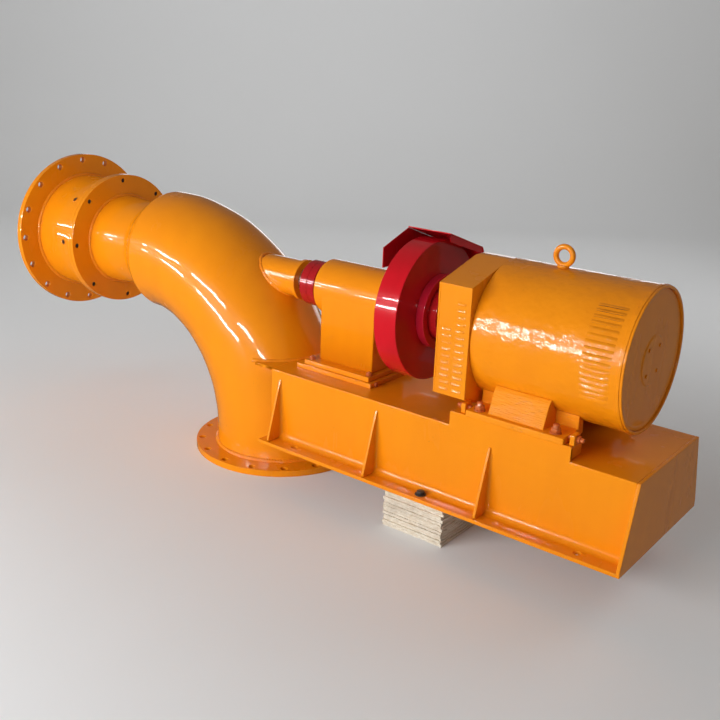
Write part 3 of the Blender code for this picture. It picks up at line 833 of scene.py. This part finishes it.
def on_bend(y, z, pipe_r):
    """The point of the bend's outer wall with a given y and z."""
    reach = BEND_LINE_R + sqrt(pipe_r ** 2 - y ** 2)
    return Vector((OUTLET_X - BEND_LINE_R + sqrt(reach ** 2 - (z - AXIS_Z + BEND_LINE_R) ** 2), y, z))


# Where the shaft boss leaves the bend: the boss circle carried along X to the bend's outer wall
saddle = circle(boss_r - BOSS_STEP, 240)
path = [on_bend(y, AXIS_Z + z, BEND_OUT_R - 0.003) for y, z in saddle]
outward = [(Vector((0, y, z)).normalized() + Vector((0.9, 0, 0))).normalized() for y, z in saddle]
welds.add(bead(path, outward, 0.014, 0.005, 40, seed=30))
# Where the deck of the base meets the bend
path = [on_bend(DECK_BEAD_HALF * (k / DECK_BEAD_STEPS - 1), deck_z + BEAD_LIFT, BEND_OUT_R - BEAD_LIFT)
        for k in range(2 * DECK_BEAD_STEPS + 1)]
outward = [Vector((0.6, 0.5 * p.y / DECK_BEAD_HALF, 0.8)).normalized() for p in path]
welds.add(bead(path, outward, 0.016, 0.005, 0, seed=31, closed=False))
welds.piece("pipe_welds", [orange_weld])
print("weld faces", len(welds.faces))

# %% [markdown]
# ## Vane plugs and joint screws
#
# Eight plugs round the chamber lock the guide vanes, and eight socket screws pull the two joint
# flanges together. At this distance both are dark dots with a bright rim, but only a real recess
# keeps looking right from the side, so each is a ring with a hexagon sunk into it. The plug's hexagon is
# lined with a dark tone, which is painted shade.

# %% Heads, washers and plugs
PLUGS = 8
PLUG_X = sum(corner.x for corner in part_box("guide_vane_hub")) / 2
PLUG_R = 0.0130
PLUG_BED = 0.0040
GAP_BED = 0.0041


def socket_head(radius, height, flats):
    """Round head with a hexagon recess, its foot at local zero."""
    half = flats / 2
    bottom = height * 0.35
    return spun([(0.0, radius), (height - 0.001, radius), (height, radius - 0.001), (height, half * 1.16),
                 (height - 0.0004, half, True), (bottom, half, True), (bottom, 0.0), (0.0, 0.0)], 24)


def hex_head(flats, height, stud_r=0.0, stud=0.0):
    """Hexagon head or nut with a chamfered top, and a bolt's end standing out of it where one does."""
    half = flats / 2
    top = height + stud
    section = [(0.0, 0.0), (0.0, half, True), (height * 0.82, half, True), (height, half * 0.93)]
    if stud:
        section += [(height, stud_r), (top - 0.0015, stud_r), (top, stud_r - 0.0015)]
    return spun(section + [(top, 0.0)], 24, closed=False)


def washer(radius, thick):
    return spun([(0.0, 0.0), (0.0, radius), (thick * 0.7, radius), (thick, radius - 0.001), (thick, 0.0)], 28,
                closed=False)


def on_washer(radius, thick, head):
    """A washer with a head or nut on it."""
    both = Shape().add(washer(radius, thick)).add(head, Matrix.Translation((0, 0, thick)))
    return both.verts, both.faces


plug = spun([(0.0, 0.0), (0.0, PLUG_R), (0.0048, PLUG_R), (0.0056, PLUG_R - 0.0008), (0.0056, 0.0106),
             (PLUG_BED, 0.0104), (PLUG_BED, 0.0)], 32, closed=False)
gap = spun([(GAP_BED, 0.0), (GAP_BED, 0.0103), (0.0044, 0.0103), (0.0044, 0.0058, True),
            (GAP_BED, 0.0055, True), (GAP_BED, 0.0)], 24)
plugs = Shape()
for k in range(PLUGS):
    a = 2 * pi * k / PLUGS
    out = Vector((0, cos(a), sin(a)))
    place = along(out, Vector((PLUG_X, 0, AXIS_Z)) + out * (CHAMBER_R - PLUG_BED))
    plugs.add(plug, place).add(gap, place, 1)
plugs.piece("vane_plugs", [orange, shadow])
print("plugs", PLUGS, "at", round(PLUG_X, 3))

# %% Joint screws
SCREW_SUNK = 0.010
SCREW_GAP = 0.0006
screw = socket_head(JOINT_HOLE_R - SCREW_GAP, 0.006, 0.008)
screws = Shape().ring(screw, JOINT_HOLES, JOINT_CIRCLE_R, joint_face - SCREW_SUNK)
screws.piece("joint_screws", [black], "steel")
print("joint screws", JOINT_HOLES)

# %% [markdown]
# ## Shaft boss, gland and everything that turns
#
# The boss and the gland stand still while shaft, couplings and flywheel turn, so the pieces are
# kept apart by body. The flywheel is one big turned casting: a wide smooth rim, a turned face and a
# raised coupling ring. Rims get a larger ease than faces, since castings are broken there by hand.

# %% Boss and gland
RUNNING_GAP = 0.0003
SHAFT_BORE = size_of("bearing_shaft")[2] + RUNNING_GAP
BOSS_BORE = 0.037
COLLAR_LENGTH = 0.018
GLAND_CIRCLE_R = 0.043
collar_x = boss_x1 - COLLAR_LENGTH
pipe_r = boss_r - BOSS_STEP
turned_piece("shaft_boss_tube", [(boss_x0, BOSS_BORE), (boss_x0, pipe_r), (collar_x, pipe_r),
             (collar_x, boss_r), (boss_x1, boss_r), (boss_x1, BOSS_BORE)], orange, nodes=["shaft_boss"],
             sides=96)
turned_piece("gland_ring_turned", tube_of("gland_ring", SHAFT_BORE), steel, "steel", nodes=["gland_ring"],
             sides=64, ease=0.0015)
gland_nut = hex_head(0.011, 0.006, 0.003, 0.004)
gland_bolts = Shape().ring(gland_nut, 3, GLAND_CIRCLE_R, size_of("gland_ring")[1], turn=pi / 6)
gland_bolts.piece("gland_bolts", [steel], "steel")
print("boss out to", round(boss_x1, 3))

# %% Shafts and the shaft coupling
COUPLING_NECK_R = 0.050
COUPLING_CIRCLE_R = 0.070
LEFT_NECK = 0.016
RIGHT_NECK = 0.012
CASTING_EASE = 0.003
for node in ("turbine_shaft", "bearing_shaft", "alternator_shaft"):
    turned_piece(node + "_turned", tube_of(node), steel, "steel", "rotor", [node], 64)
# The coupling halves and their bolts take the darker red, which is painted shade
x0, x1, r = size_of("coupling_half_left")
left_face = x0 + LEFT_NECK
turned_piece("coupling_left", [(x0, SHAFT_BORE), (x0, COUPLING_NECK_R), (left_face, COUPLING_NECK_R),
             (left_face, r), (x1, r), (x1, SHAFT_BORE)], red_painted_shade, "red_paint", "rotor", ["coupling_half_left"],
             96, CASTING_EASE)
x0, x1, r = size_of("coupling_half_right")
right_face = x1 - RIGHT_NECK
turned_piece("coupling_right", [(x0, SHAFT_BORE), (x0, r), (right_face, r), (right_face, COUPLING_NECK_R),
             (x1, COUPLING_NECK_R), (x1, SHAFT_BORE)], red_painted_shade, "red_paint", "rotor", ["coupling_half_right"],
             96, CASTING_EASE)
head = hex_head(0.016, 0.008)
coupling_bolts = Shape().ring(head, 6, COUPLING_CIRCLE_R, left_face, way=-1)
coupling_bolts.ring(head, 6, COUPLING_CIRCLE_R, right_face)
coupling_bolts.piece("shaft_coupling_bolts", [red_painted_shade], "red_paint", "rotor")
print("coupling faces", round(left_face, 3), round(right_face, 3))

# %% Flywheel
RIM_WIDTH = 0.092
wheel_x0, wheel_x1, wheel_r = size_of("flywheel")
rim_x0 = wheel_x1 - RIM_WIDTH


def rim_and_painted_shade_faces(name, section, rim_paint, rim_from, sides, ease, node):
    """A turned casting with its rim, which lies beyond the given radius, in the given paint, and its side
    faces in the darker red that is painted shade.
    """
    shape = Shape().add(spun(eased(section, ease), sides), SHAFT)
    for i, face in enumerate(shape.faces):
        radii = [Vector((0, shape.verts[v].y, shape.verts[v].z - AXIS_Z)).length for v in face]
        shape.tints[i] = 0 if min(radii) > rim_from else 1
    shape.piece(name, [rim_paint, red_painted_shade], "red_paint", "rotor", [node])


rim_and_painted_shade_faces("flywheel_casting", [(wheel_x0, SHAFT_BORE), (wheel_x0, 0.062), (rim_x0, 0.070), (rim_x0, wheel_r),
         (wheel_x1, wheel_r), (wheel_x1, SHAFT_BORE)], red, wheel_r - 0.0035, 192, 0.004, "flywheel")
print("flywheel", round(2 * wheel_r, 3), "m across")

# %% Drive coupling and rotor core
RING_IN_R = 0.106
RING_DEPTH = 0.008
HUB_STEP_X = 0.635
HUB_NOSE_R = 0.058
HUB_BORE = 0.036
HUB_BORE_DEPTH = 0.026
x0, x1, r = size_of("drive_coupling_disc")
rim_and_painted_shade_faces("drive_coupling_ring", [(x0, SHAFT_BORE), (x0, r), (x1, r), (x1, RING_IN_R),
         (x1 - RING_DEPTH, RING_IN_R), (x1 - RING_DEPTH, SHAFT_BORE)], crimson, r - 0.0025, 144, CASTING_EASE,
         "drive_coupling_disc")
x0, x1, r = size_of("drive_coupling_hub")
turned_piece("drive_coupling_centre", [(x0, HUB_BORE), (x0, r), (HUB_STEP_X, r), (HUB_STEP_X, HUB_NOSE_R),
             (x1, HUB_NOSE_R), (x1, SHAFT_BORE), (x0 + HUB_BORE_DEPTH, SHAFT_BORE),
             (x0 + HUB_BORE_DEPTH, HUB_BORE)], red_painted_shade, "red_paint", "rotor", ["drive_coupling_hub"], 96,
             CASTING_EASE)
drive_nut = on_washer(0.0115, 0.002, hex_head(0.019, 0.010, 0.005, 0.006))
drive_bolts = Shape().ring(drive_nut, 8, 0.0865, HUB_STEP_X, turn=pi / 8)
drive_bolts.piece("drive_coupling_bolts", [crimson], "red_paint", "rotor")
turned_piece("rotor_core_turned", tube_of("alternator_rotor_core", SHAFT_BORE), core, "core_iron", "rotor",
             ["alternator_rotor_core"], 72)
print("drive coupling", round(2 * size_of("drive_coupling_disc")[2], 3), "m across")

# %% [markdown]
# ## Plates that keep their CAD shape
#
# Webs, gussets, pads and feet already have the right outline. Copying the solid, merging its split
# corners and adding a narrow Bevel is enough: the edge then carries the fine bright line that the
# photograph shows along every plate.

# %% Softened copies
SAME_POINT = 0.00001


def softened(node, width, material, body="set"):
    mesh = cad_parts[node].data.copy()
    mesh.materials.clear()
    mesh.materials.append(material)
    tidy = bmesh.new()
    tidy.from_mesh(mesh)
    bmesh.ops.remove_doubles(tidy, verts=tidy.verts, dist=SAME_POINT)
    bmesh.ops.dissolve_limit(tidy, angle_limit=radians(1.0), verts=tidy.verts, edges=tidy.edges)
    bmesh.ops.recalc_face_normals(tidy, faces=tidy.faces)
    for face in tidy.faces:
        face.material_index = 0
    tidy.to_mesh(mesh)
    tidy.free()
    mesh.shade_smooth()
    obj = new_object(node + "_finished", mesh)
    edge = obj.modifiers.new("eased_edges", "BEVEL")
    edge.width = width
    edge.segments = 2
    edge.limit_method = "ANGLE"
    edge.angle_limit = radians(35)
    hand_over(obj, body, [node])


for node in ("base_end_left", "base_end_right", "sole_plate", "pedestal_foot"):
    softened(node, 0.002, orange)
for node in ("alternator_foot_near", "alternator_foot_far"):
    softened(node, 0.003, orange_cast)
softened("guide_vane_hub", 0.001, orange)
softened("runner", 0.0015, steel, "rotor")
for node in ("flywheel_hood", "hood_end_plate"):
    softened(node, 0.0012, red)
for node in ("alternator_shroud", "shroud_end_plate"):
    softened(node, 0.0012, orange)
softened("alternator_drive_shield", 0.002, orange)

# %% Lip of the hood
LIP_REACH = 0.215
LIP_FALL = 0.0755
LIP_DEPTHS = (0.026, 0.020)
LIP_THICK = 0.004
# The hood's right end has a strip turned down under the far slope
hood_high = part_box("flywheel_hood")[1]
lip_z = hood_high.z - 0.005
lip_end_z = lip_z - LIP_FALL
strip = [(0.0, lip_z), (0.0, lip_z - LIP_DEPTHS[0]), (LIP_REACH, lip_end_z - LIP_DEPTHS[1]),
         (LIP_REACH, lip_end_z)]
lip = Shape().add(slab(strip, "X", hood_high.x - LIP_THICK, hood_high.x, 0.0008))
lip.piece("hood_lip", [red], "red_paint")
print("lip from", round(lip_z, 3), "down to", round(lip_end_z, 3))

# %% [markdown]
# ## The base
#
# On the real base the top and the two webs are welded and dressed until no seam shows, so the three
# solids are drawn as one folded section. The bolting flanges keep their own plates because their
# edge shows. A smooth concave fillet where web meets flange is the softest reflection on the base.

# %% Base shell and pads
FOLD_R = 0.004
DECK_TUCK = 0.010
PAD_CORNER_R = 0.008
FACE_DROP = 0.060
FACE_PROUD = 0.0002
web_low, web_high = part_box("base_side_near")
top_low, top_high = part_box("base_top")
half = -web_low.y
wall = web_high.y - web_low.y
deck_under = top_low.z
inner = half - wall
fold = [(-half, web_low.z), (-half, web_high.z), (half, web_high.z), (half, web_low.z), (inner, web_low.z),
        (inner, deck_under), (-inner, deck_under), (-inner, web_low.z)]
deck_end = oblong(top_low.x + DECK_TUCK, -inner, web_low.x, inner)
base = Shape().add(slab(rounded(fold, FOLD_R, only=(1, 2)), "X", web_low.x, web_high.x))
base.add(slab(deck_end, "Z", deck_under, top_high.z))
base.piece("base_shell", [orange], nodes=["base_side_near", "base_side_far", "base_top"])

pads = Shape()
for side, sign in (("near", -1), ("far", 1)):
    low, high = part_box("alternator_pad_" + side)
    block = rounded(oblong(low.x, low.z, high.x, high.z), PAD_CORNER_R)
    pads.add(slab(block, "Y", low.y, high.y, 0.002))
    # Dressed face: web and pad were ground together, so their joint is covered
    face = rounded(oblong(low.x, low.z - FACE_DROP, high.x, high.z - FACE_PROUD), PAD_CORNER_R)
    pads.add(slab(face, "Y", *sorted((sign * (half + FACE_PROUD), sign * (half - 0.010)))))
pads.piece("alternator_pads", [orange], nodes=["alternator_pad_near", "alternator_pad_far"])
print("base", round(web_high.x - web_low.x, 3), "m long")

# %% Flanges and gussets of the base
ANCHOR_X = [0.159, 0.734, 1.313]
ANCHOR_HOLE_R = 0.012
GUSSET_TOE = 0.012
GUSSET_TIP = 0.004
for side, sign in (("near", -1), ("far", 1)):
    low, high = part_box("base_flange_" + side)
    middle = sign * (half + max(abs(low.y), abs(high.y))) / 2
    plate = slab(oblong(low.x, low.y, high.x, high.y), "Z", low.z, high.z, 0.002,
                 [circle(ANCHOR_HOLE_R, HOLE_SIDES, (x, middle)) for x in ANCHOR_X])
    Shape().add(plate).piece("base_flange_%s_plate" % side, [orange], nodes=["base_flange_" + side])

# Gussets run out to a thin point on the web, where the filler blends them in
gussets = Shape()
gusset_nodes = ["gusset_%s_%d" % (side, n) for side in ("near", "far") for n in (1, 2, 3)]
for node in gusset_nodes:
    low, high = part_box(node)
    sign = -1 if "near" in node else 1
    root, toe = sorted((abs(low.y), abs(high.y)))
    outline = [(sign * root, low.z), (sign * toe, low.z), (sign * toe, low.z + GUSSET_TOE),
               (sign * (root + GUSSET_TIP), high.z), (sign * root, high.z)]
    gussets.add(slab(outline, "X", low.x, high.x, 0.0016))
gussets.piece("gusset_plates", [orange], nodes=gusset_nodes)
print("gussets", len(gusset_nodes), "anchor holes", 2 * len(ANCHOR_X))

# %% [markdown]
# ## Fillets on the base
#
# The fillet's section is a concave quarter circle. Extruding it between gussets, with a small upright
# one in each corner, is lighter than beads and closer to the smooth filled corners of the real base.

# %% Fillet strips
FILLET_R = 0.022
UPRIGHT_R = 0.010
FILLET_EASE = 0.0003
FILLET_SUNK = 0.001


def fillet_section(corner, a, b, radius, steps=6):
    """Concave quarter circle in the corner between the directions a and b, in outline coordinates."""
    c, a, b = Vector(corner), Vector(a), Vector(b)
    middle = c + (a + b) * radius
    points = [c - (a + b) * FILLET_SUNK]
    for k in range(steps + 1):
        t = pi / 2 * k / steps
        points.append(middle - b * (radius * cos(t)) - a * (radius * sin(t)))
    return points


fillets = Shape()
flange_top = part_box("base_flange_near")[1].z
gusset_boxes = [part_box("gusset_near_%d" % n) for n in (1, 2, 3)]
stations = [web_low.x] + [corner.x for box in gusset_boxes for corner in box] + [web_high.x]
for sign in (-1, 1):
    long_section = fillet_section((sign * half, flange_top), (sign, 0), (0, 1), FILLET_R)
    for start, end in zip(stations[::2], stations[1::2]):
        fillets.add(slab(long_section, "X", start + 0.0004, end - 0.0004, FILLET_EASE))
    for low, high in gusset_boxes:
        for x, way in ((low.x, -1), (high.x, 1)):
            upright = fillet_section((x, sign * half), (way, 0), (0, sign), UPRIGHT_R)
            fillets.add(slab(upright, "Z", flange_top + 0.002, high.z - 0.020, FILLET_EASE))
fillets.piece("base_fillets", [orange], sharp=35)
print("fillet strips", len(stations) + 4 * len(gusset_boxes), "faces", len(fillets.faces))

# %% [markdown]
# ## Bearing housing
#
# A plain turned barrel sits in a box pedestal of the same width. The real ones are filled and dressed
# together, so the sides of the box run up to where the barrel's own side stands upright and no line
# shows between them. The corner bolts were painted with the rest, but they take a darker orange, which is
# painted shade for the corners they sit in.

# %% Housing and its bolts
CAP_IN_R = 0.033
CAP_R = 0.074
CAP_THICK = 0.003
CAP_CIRCLE_R = 0.062
SHOULDER_DROP = 0.0085
SHOULDER = (0.006, 0.004)
x0, x1, _ = size_of("bearing_housing")
turned_piece("bearing_barrel", tube_of("bearing_housing", SHAFT_BORE), orange, nodes=["bearing_housing"],
             sides=128, ease=0.004)
cap = spun(eased([(0.0, CAP_IN_R), (0.0, CAP_R), (CAP_THICK, CAP_R), (CAP_THICK, CAP_IN_R)], 0.001), 72)
bearing_caps = Shape()
for x, way in ((x0, -1), (x1, 1)):
    bearing_caps.add(cap, along((way, 0, 0), (x, 0, AXIS_Z)))
    bearing_caps.ring(hex_head(0.013, 0.003), 6, CAP_CIRCLE_R, x + way * CAP_THICK, way, pi / 6)
bearing_caps.piece("bearing_caps", [orange])

low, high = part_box("bearing_pedestal")
shoulder_z = AXIS_Z - SHOULDER_DROP
inset, rise = SHOULDER
outline = [(low.y, low.z), (high.y, low.z), (high.y, shoulder_z), (high.y - inset, shoulder_z + rise),
           (low.y + inset, shoulder_z + rise), (low.y, shoulder_z)]
pedestal = Shape().add(slab(outline, "X", low.x, high.x, 0.004))
pedestal.piece("pedestal_box", [orange], nodes=["bearing_pedestal"])

foot_low, foot_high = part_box("pedestal_foot")
sole_low, sole_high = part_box("sole_plate")
foot_nut = on_washer(0.0125, 0.002, hex_head(0.021, 0.009, 0.006, 0.004))
foot_bolts = Shape()
for x in (foot_low.x + 0.022, foot_high.x - 0.014):
    for sign in (-1, 1):
        foot_bolts.add(foot_nut, along(UP, (x, sign * (foot_high.y - 0.022), foot_high.z)))
for sign in (-1, 1):
    at = (sole_high.x - 0.0005, sign * (sole_high.y - 0.030), (sole_low.z + sole_high.z) / 2)
    foot_bolts.add(hex_head(0.016, 0.008), along((1, 0, 0), at))
foot_bolts.piece("pedestal_bolts", [orange_bolt_painted_shade])
print("pedestal bolts 4, end screws 2")

# %% [markdown]
# ## Alternator
#
# Its body is a thin drum that isn't truly round, which breaks the window reflection into sparks; the
# shell paint has extra dents for that. The louvres are pressed out of the sheet. Each is a low hood
# that rises to an open lip, and the face under the lip has a dark tone, which is painted shade. One function
# draws a hood in flat coordinates and a placing function wraps it on a side of the shroud or round the drum.

# %% Drum, end shield and eye
DRUM_WALL = 0.010
BAND_RISE = 0.0025
BAND_DEPTH = 0.002
EYE_R = 0.029
EYE_BAR = 0.009
_, drum_x1, drum_r = size_of("alternator_body")
turned_piece("alternator_drum", tube_of("alternator_body", drum_r - DRUM_WALL), orange_shell,
             nodes=["alternator_body"], sides=192, ease=0.003)
turned_piece("drum_band", [(drum_x1 - 0.020, drum_r - BAND_DEPTH), (drum_x1 - 0.020, drum_r + BAND_RISE),
             (drum_x1 - 0.008, drum_r + BAND_RISE), (drum_x1 - 0.008, drum_r - BAND_DEPTH)], orange_shell,
             sides=192)

_, end_x, shield_r = size_of("alternator_end_shield")
dish = [(end_x - 0.014, 0.0), (end_x - 0.014, shield_r), (end_x - 0.003, shield_r),
        (end_x - 0.003, shield_r - 0.010), (end_x - 0.004, shield_r - 0.016), (end_x - 0.004, 0.082),
        (end_x, 0.078), (end_x, 0.0)]
turned_piece("end_shield_dish", dish, orange, nodes=["alternator_end_shield"], ease=0.003)
shield_screws = Shape().ring(hex_head(0.011, 0.0035), 4, 0.058, end_x, turn=pi / 4)
shield_screws.piece("shield_screws", [orange])

eye_low, eye_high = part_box("lifting_eye")
eye_x = (eye_low.x + eye_high.x) / 2
eye_z = eye_high.z - EYE_R - EYE_BAR
eye_foot_r = (eye_high.y - eye_low.y) / 2
stem = eye_z - EYE_R - eye_low.z
eye_ring = [(EYE_BAR * sin(2 * pi * k / 16), EYE_R + EYE_BAR * cos(2 * pi * k / 16)) for k in range(16)]
eye_foot = [(0.0, 0.0), (0.0, eye_foot_r), (0.008, eye_foot_r), (stem, 0.010), (stem, 0.0)]
eye = Shape().add(spun(eye_ring, 48), along((0, 1, 0), (eye_x, 0, eye_z)))
eye.add(spun(eased(eye_foot, 0.0015), 40), along(UP, (eye_x, 0, eye_low.z)))
eye.piece("lifting_eye_forged", [orange], nodes=["lifting_eye"], sharp=50)
print("drum", round(2 * drum_r, 3), "m across, eye at", round(eye_x, 3))

# %% Louvres
LOUVRE_SUNK = -0.0008
LOUVRE_ROWS = 6
LOUVRE_PITCH = 0.0225
LOUVRE_LENGTH = 0.034
LOUVRE_COLUMNS = ((0.032, 10), (0.082, 14))
LOUVRE_FOOT_Z = 0.540
DRUM_LOUVRES = 16
DRUM_LOUVRE_X = drum_x1 - 0.088
shroud_low, shroud_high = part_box("alternator_shroud")


def add_louvre(shape, length, height, rise, place, across=10):
    """Adds a pressed hood of given length and height; place(u, v, w) puts it on its surface."""
    verts, faces, tints = [], [], []
    for i in range(across + 1):
        u = length * (i / across - 0.5)
        swell = rise * max(0.0, 1 - (2 * u / length) ** 6) ** 0.5
        rows = ((height, LOUVRE_SUNK), (height * 0.92, 0.10 * swell), (height * 0.45, 0.80 * swell),
                (height * 0.10, swell), (0.0, swell * 0.92), (height * 0.10, LOUVRE_SUNK))
        verts += [place(u, v, w) for v, w in rows]
    for i in range(across):
        faces += band(i * LOUVRE_ROWS, (i + 1) * LOUVRE_ROWS, LOUVRE_ROWS)
        # The face under the lip takes the second material, a dark tone that is painted shade
        tints += [0, 0, 0, 0, 1, 0]
    faces += [tuple(range(LOUVRE_ROWS)), tuple(range(len(verts) - LOUVRE_ROWS, len(verts)))]
    shape.add((verts, faces), tint=tints + [0, 0])


def on_shroud(x, z, sign):
    return lambda u, v, w: (x + u, sign * (shroud_high.y + w), z + v)


def on_drum(angle, sign):
    def place(u, v, w):
        r, a = drum_r + w, angle + v / drum_r
        return DRUM_LOUVRE_X + u, sign * r * cos(a), AXIS_Z + r * sin(a)
    return place


shroud_louvres = Shape()
drum_louvres = Shape()
for sign in (-1, 1):
    for column, rows in LOUVRE_COLUMNS:
        for row in range(rows):
            place = on_shroud(shroud_low.x + column, LOUVRE_FOOT_Z + LOUVRE_PITCH * row, sign)
            add_louvre(shroud_louvres, LOUVRE_LENGTH, 0.009, 0.0034, place)
    for row in range(DRUM_LOUVRES):
        add_louvre(drum_louvres, 0.094, 0.0115, 0.0044, on_drum(radians(-24 + 4.9 * row), sign), 12)
shroud_louvres.piece("shroud_louvres", [orange, shadow], sharp=60)
drum_louvres.piece("drum_louvres", [orange_shell, shadow], sharp=60)
print("louvres", 2 * (sum(rows for _, rows in LOUVRE_COLUMNS) + DRUM_LOUVRES))

# %% [markdown]
# ## Feet of the alternator
#
# Each foot is bolted in a pocket at both ends and can be nudged along the pad by a jacking screw in a
# small lug. The lugs are thick, roughly cut and heavily painted, so their edges are well rounded.

# %% Foot bolts and jacking screws
BOLT_Y = 0.222
SCREW_Y = 0.211
SCREW_RISE = 0.018
LUG_Y = (0.190, 0.232)
LUG_HEIGHT = 0.034
pad_low, pad_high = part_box("alternator_pad_near")
afoot_low, afoot_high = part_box("alternator_foot_near")
sole_top = afoot_low.z + 0.022
holding_nut = on_washer(0.019, 0.004, hex_head(0.030, 0.014, 0.010, 0.012))
jacking_screw = spun([(0.0, 0.0), (0.0, 0.0075), (0.048, 0.0075), (0.050, 0.006), (0.050, 0.0)], 20,
                     closed=False)
feet = Shape()
lugs = Shape()
for sign in (-1, 1):
    lug_y0, lug_y1 = sorted(sign * y for y in LUG_Y)
    outline = rounded(oblong(lug_y0, pad_high.z - 0.0005, lug_y1, pad_high.z + LUG_HEIGHT), 0.006)
    for x in (afoot_low.x + 0.036, afoot_high.x - 0.040):
        feet.add(holding_nut, along(UP, (x, sign * BOLT_Y, sole_top)))
    for x, way in ((afoot_low.x, -1), (afoot_high.x, 1)):
        lug_x0, lug_x1 = sorted((x + way * 0.012, x + way * 0.028))
        lugs.add(slab(outline, "X", max(lug_x0, pad_low.x), lug_x1, 0.002))
        at = Vector((x + way * 0.001, sign * SCREW_Y, pad_high.z + SCREW_RISE))
        feet.add(jacking_screw, along((way, 0, 0), at))
        feet.add(hex_head(0.022, 0.010), along((way, 0, 0), at + Vector((way * 0.028, 0, 0))))
# Bolts and jacking screws take the darker orange, which is painted shade for the pockets they stand in
feet.piece("alternator_foot_bolts", [orange_bolt_painted_shade])
lugs.piece("jacking_lugs", [orange])
print("foot bolts 4, jacking screws 4")

# %% [markdown]
# ## Timber packing
#
# The base stands on a pile of thin plywood offcuts. One block with painted lines would look like a
# printed box, so every sheet is its own slab, cut a little short and a little askew, with its edge
# crumbled by a wandering offset. The top sheet meets the base and the lowest meets the floor.

# %% Plywood sheets
SHEETS = 13
CRUMBLE = 0.0035
SHEET_TILT = 0.003
SHEET_SHORT = 0.008
stack_low, stack_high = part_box("packing_stack")
rng = Random(7)


def sheet_outline(short, tilt):
    """A rectangle whose long edges wander, inside the stack's own limits."""
    corners = oblong(stack_low.x + short[0], stack_low.y + short[2], stack_high.x - short[1],
                     stack_high.y - short[3])
    points = []
    for i, count in enumerate((22, 44, 22, 44)):
        a, b = Vector(corners[i]), Vector(corners[(i + 1) % 4])
        inward = Vector((-(b - a).y, (b - a).x)).normalized()
        for k in range(count):
            askew = tilt * k / count if i % 2 == 0 else 0.0
            points.append(a.lerp(b, k / count) + inward * (rng.random() ** 3 * CRUMBLE + askew))
    return points


stack = Shape()
thick = (stack_high.z - stack_low.z) / SHEETS
for n in range(SHEETS):
    short = [rng.random() * SHEET_SHORT for _ in range(4)]
    bottom = stack_low.z + n * thick + (0.0 if n == 0 else 0.0002 + rng.random() * 0.0007)
    top = stack_low.z + (n + 1) * thick - (0.0 if n == SHEETS - 1 else 0.0002 + rng.random() * 0.0009)
    stack.add(slab(sheet_outline(short, rng.random() * SHEET_TILT), "Z", bottom, top, 0.0006))
stack.piece("plywood_packing", [timber], "timber", nodes=["packing_stack"], sharp=40)
print("sheets", SHEETS, "each about", round(thick * 1000, 1), "mm")

# %% The bolt that holds the base down
near_y = -(half + abs(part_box("base_flange_near")[0].y)) / 2
at = (ANCHOR_X[1], near_y, flange_top)
holding = Shape().add(on_washer(0.020, 0.003, hex_head(0.026, 0.010)), along(UP, at))
holding.piece("holding_bolt", [black], "steel")
print("holding bolt at", ANCHOR_X[1], round(near_y, 3))
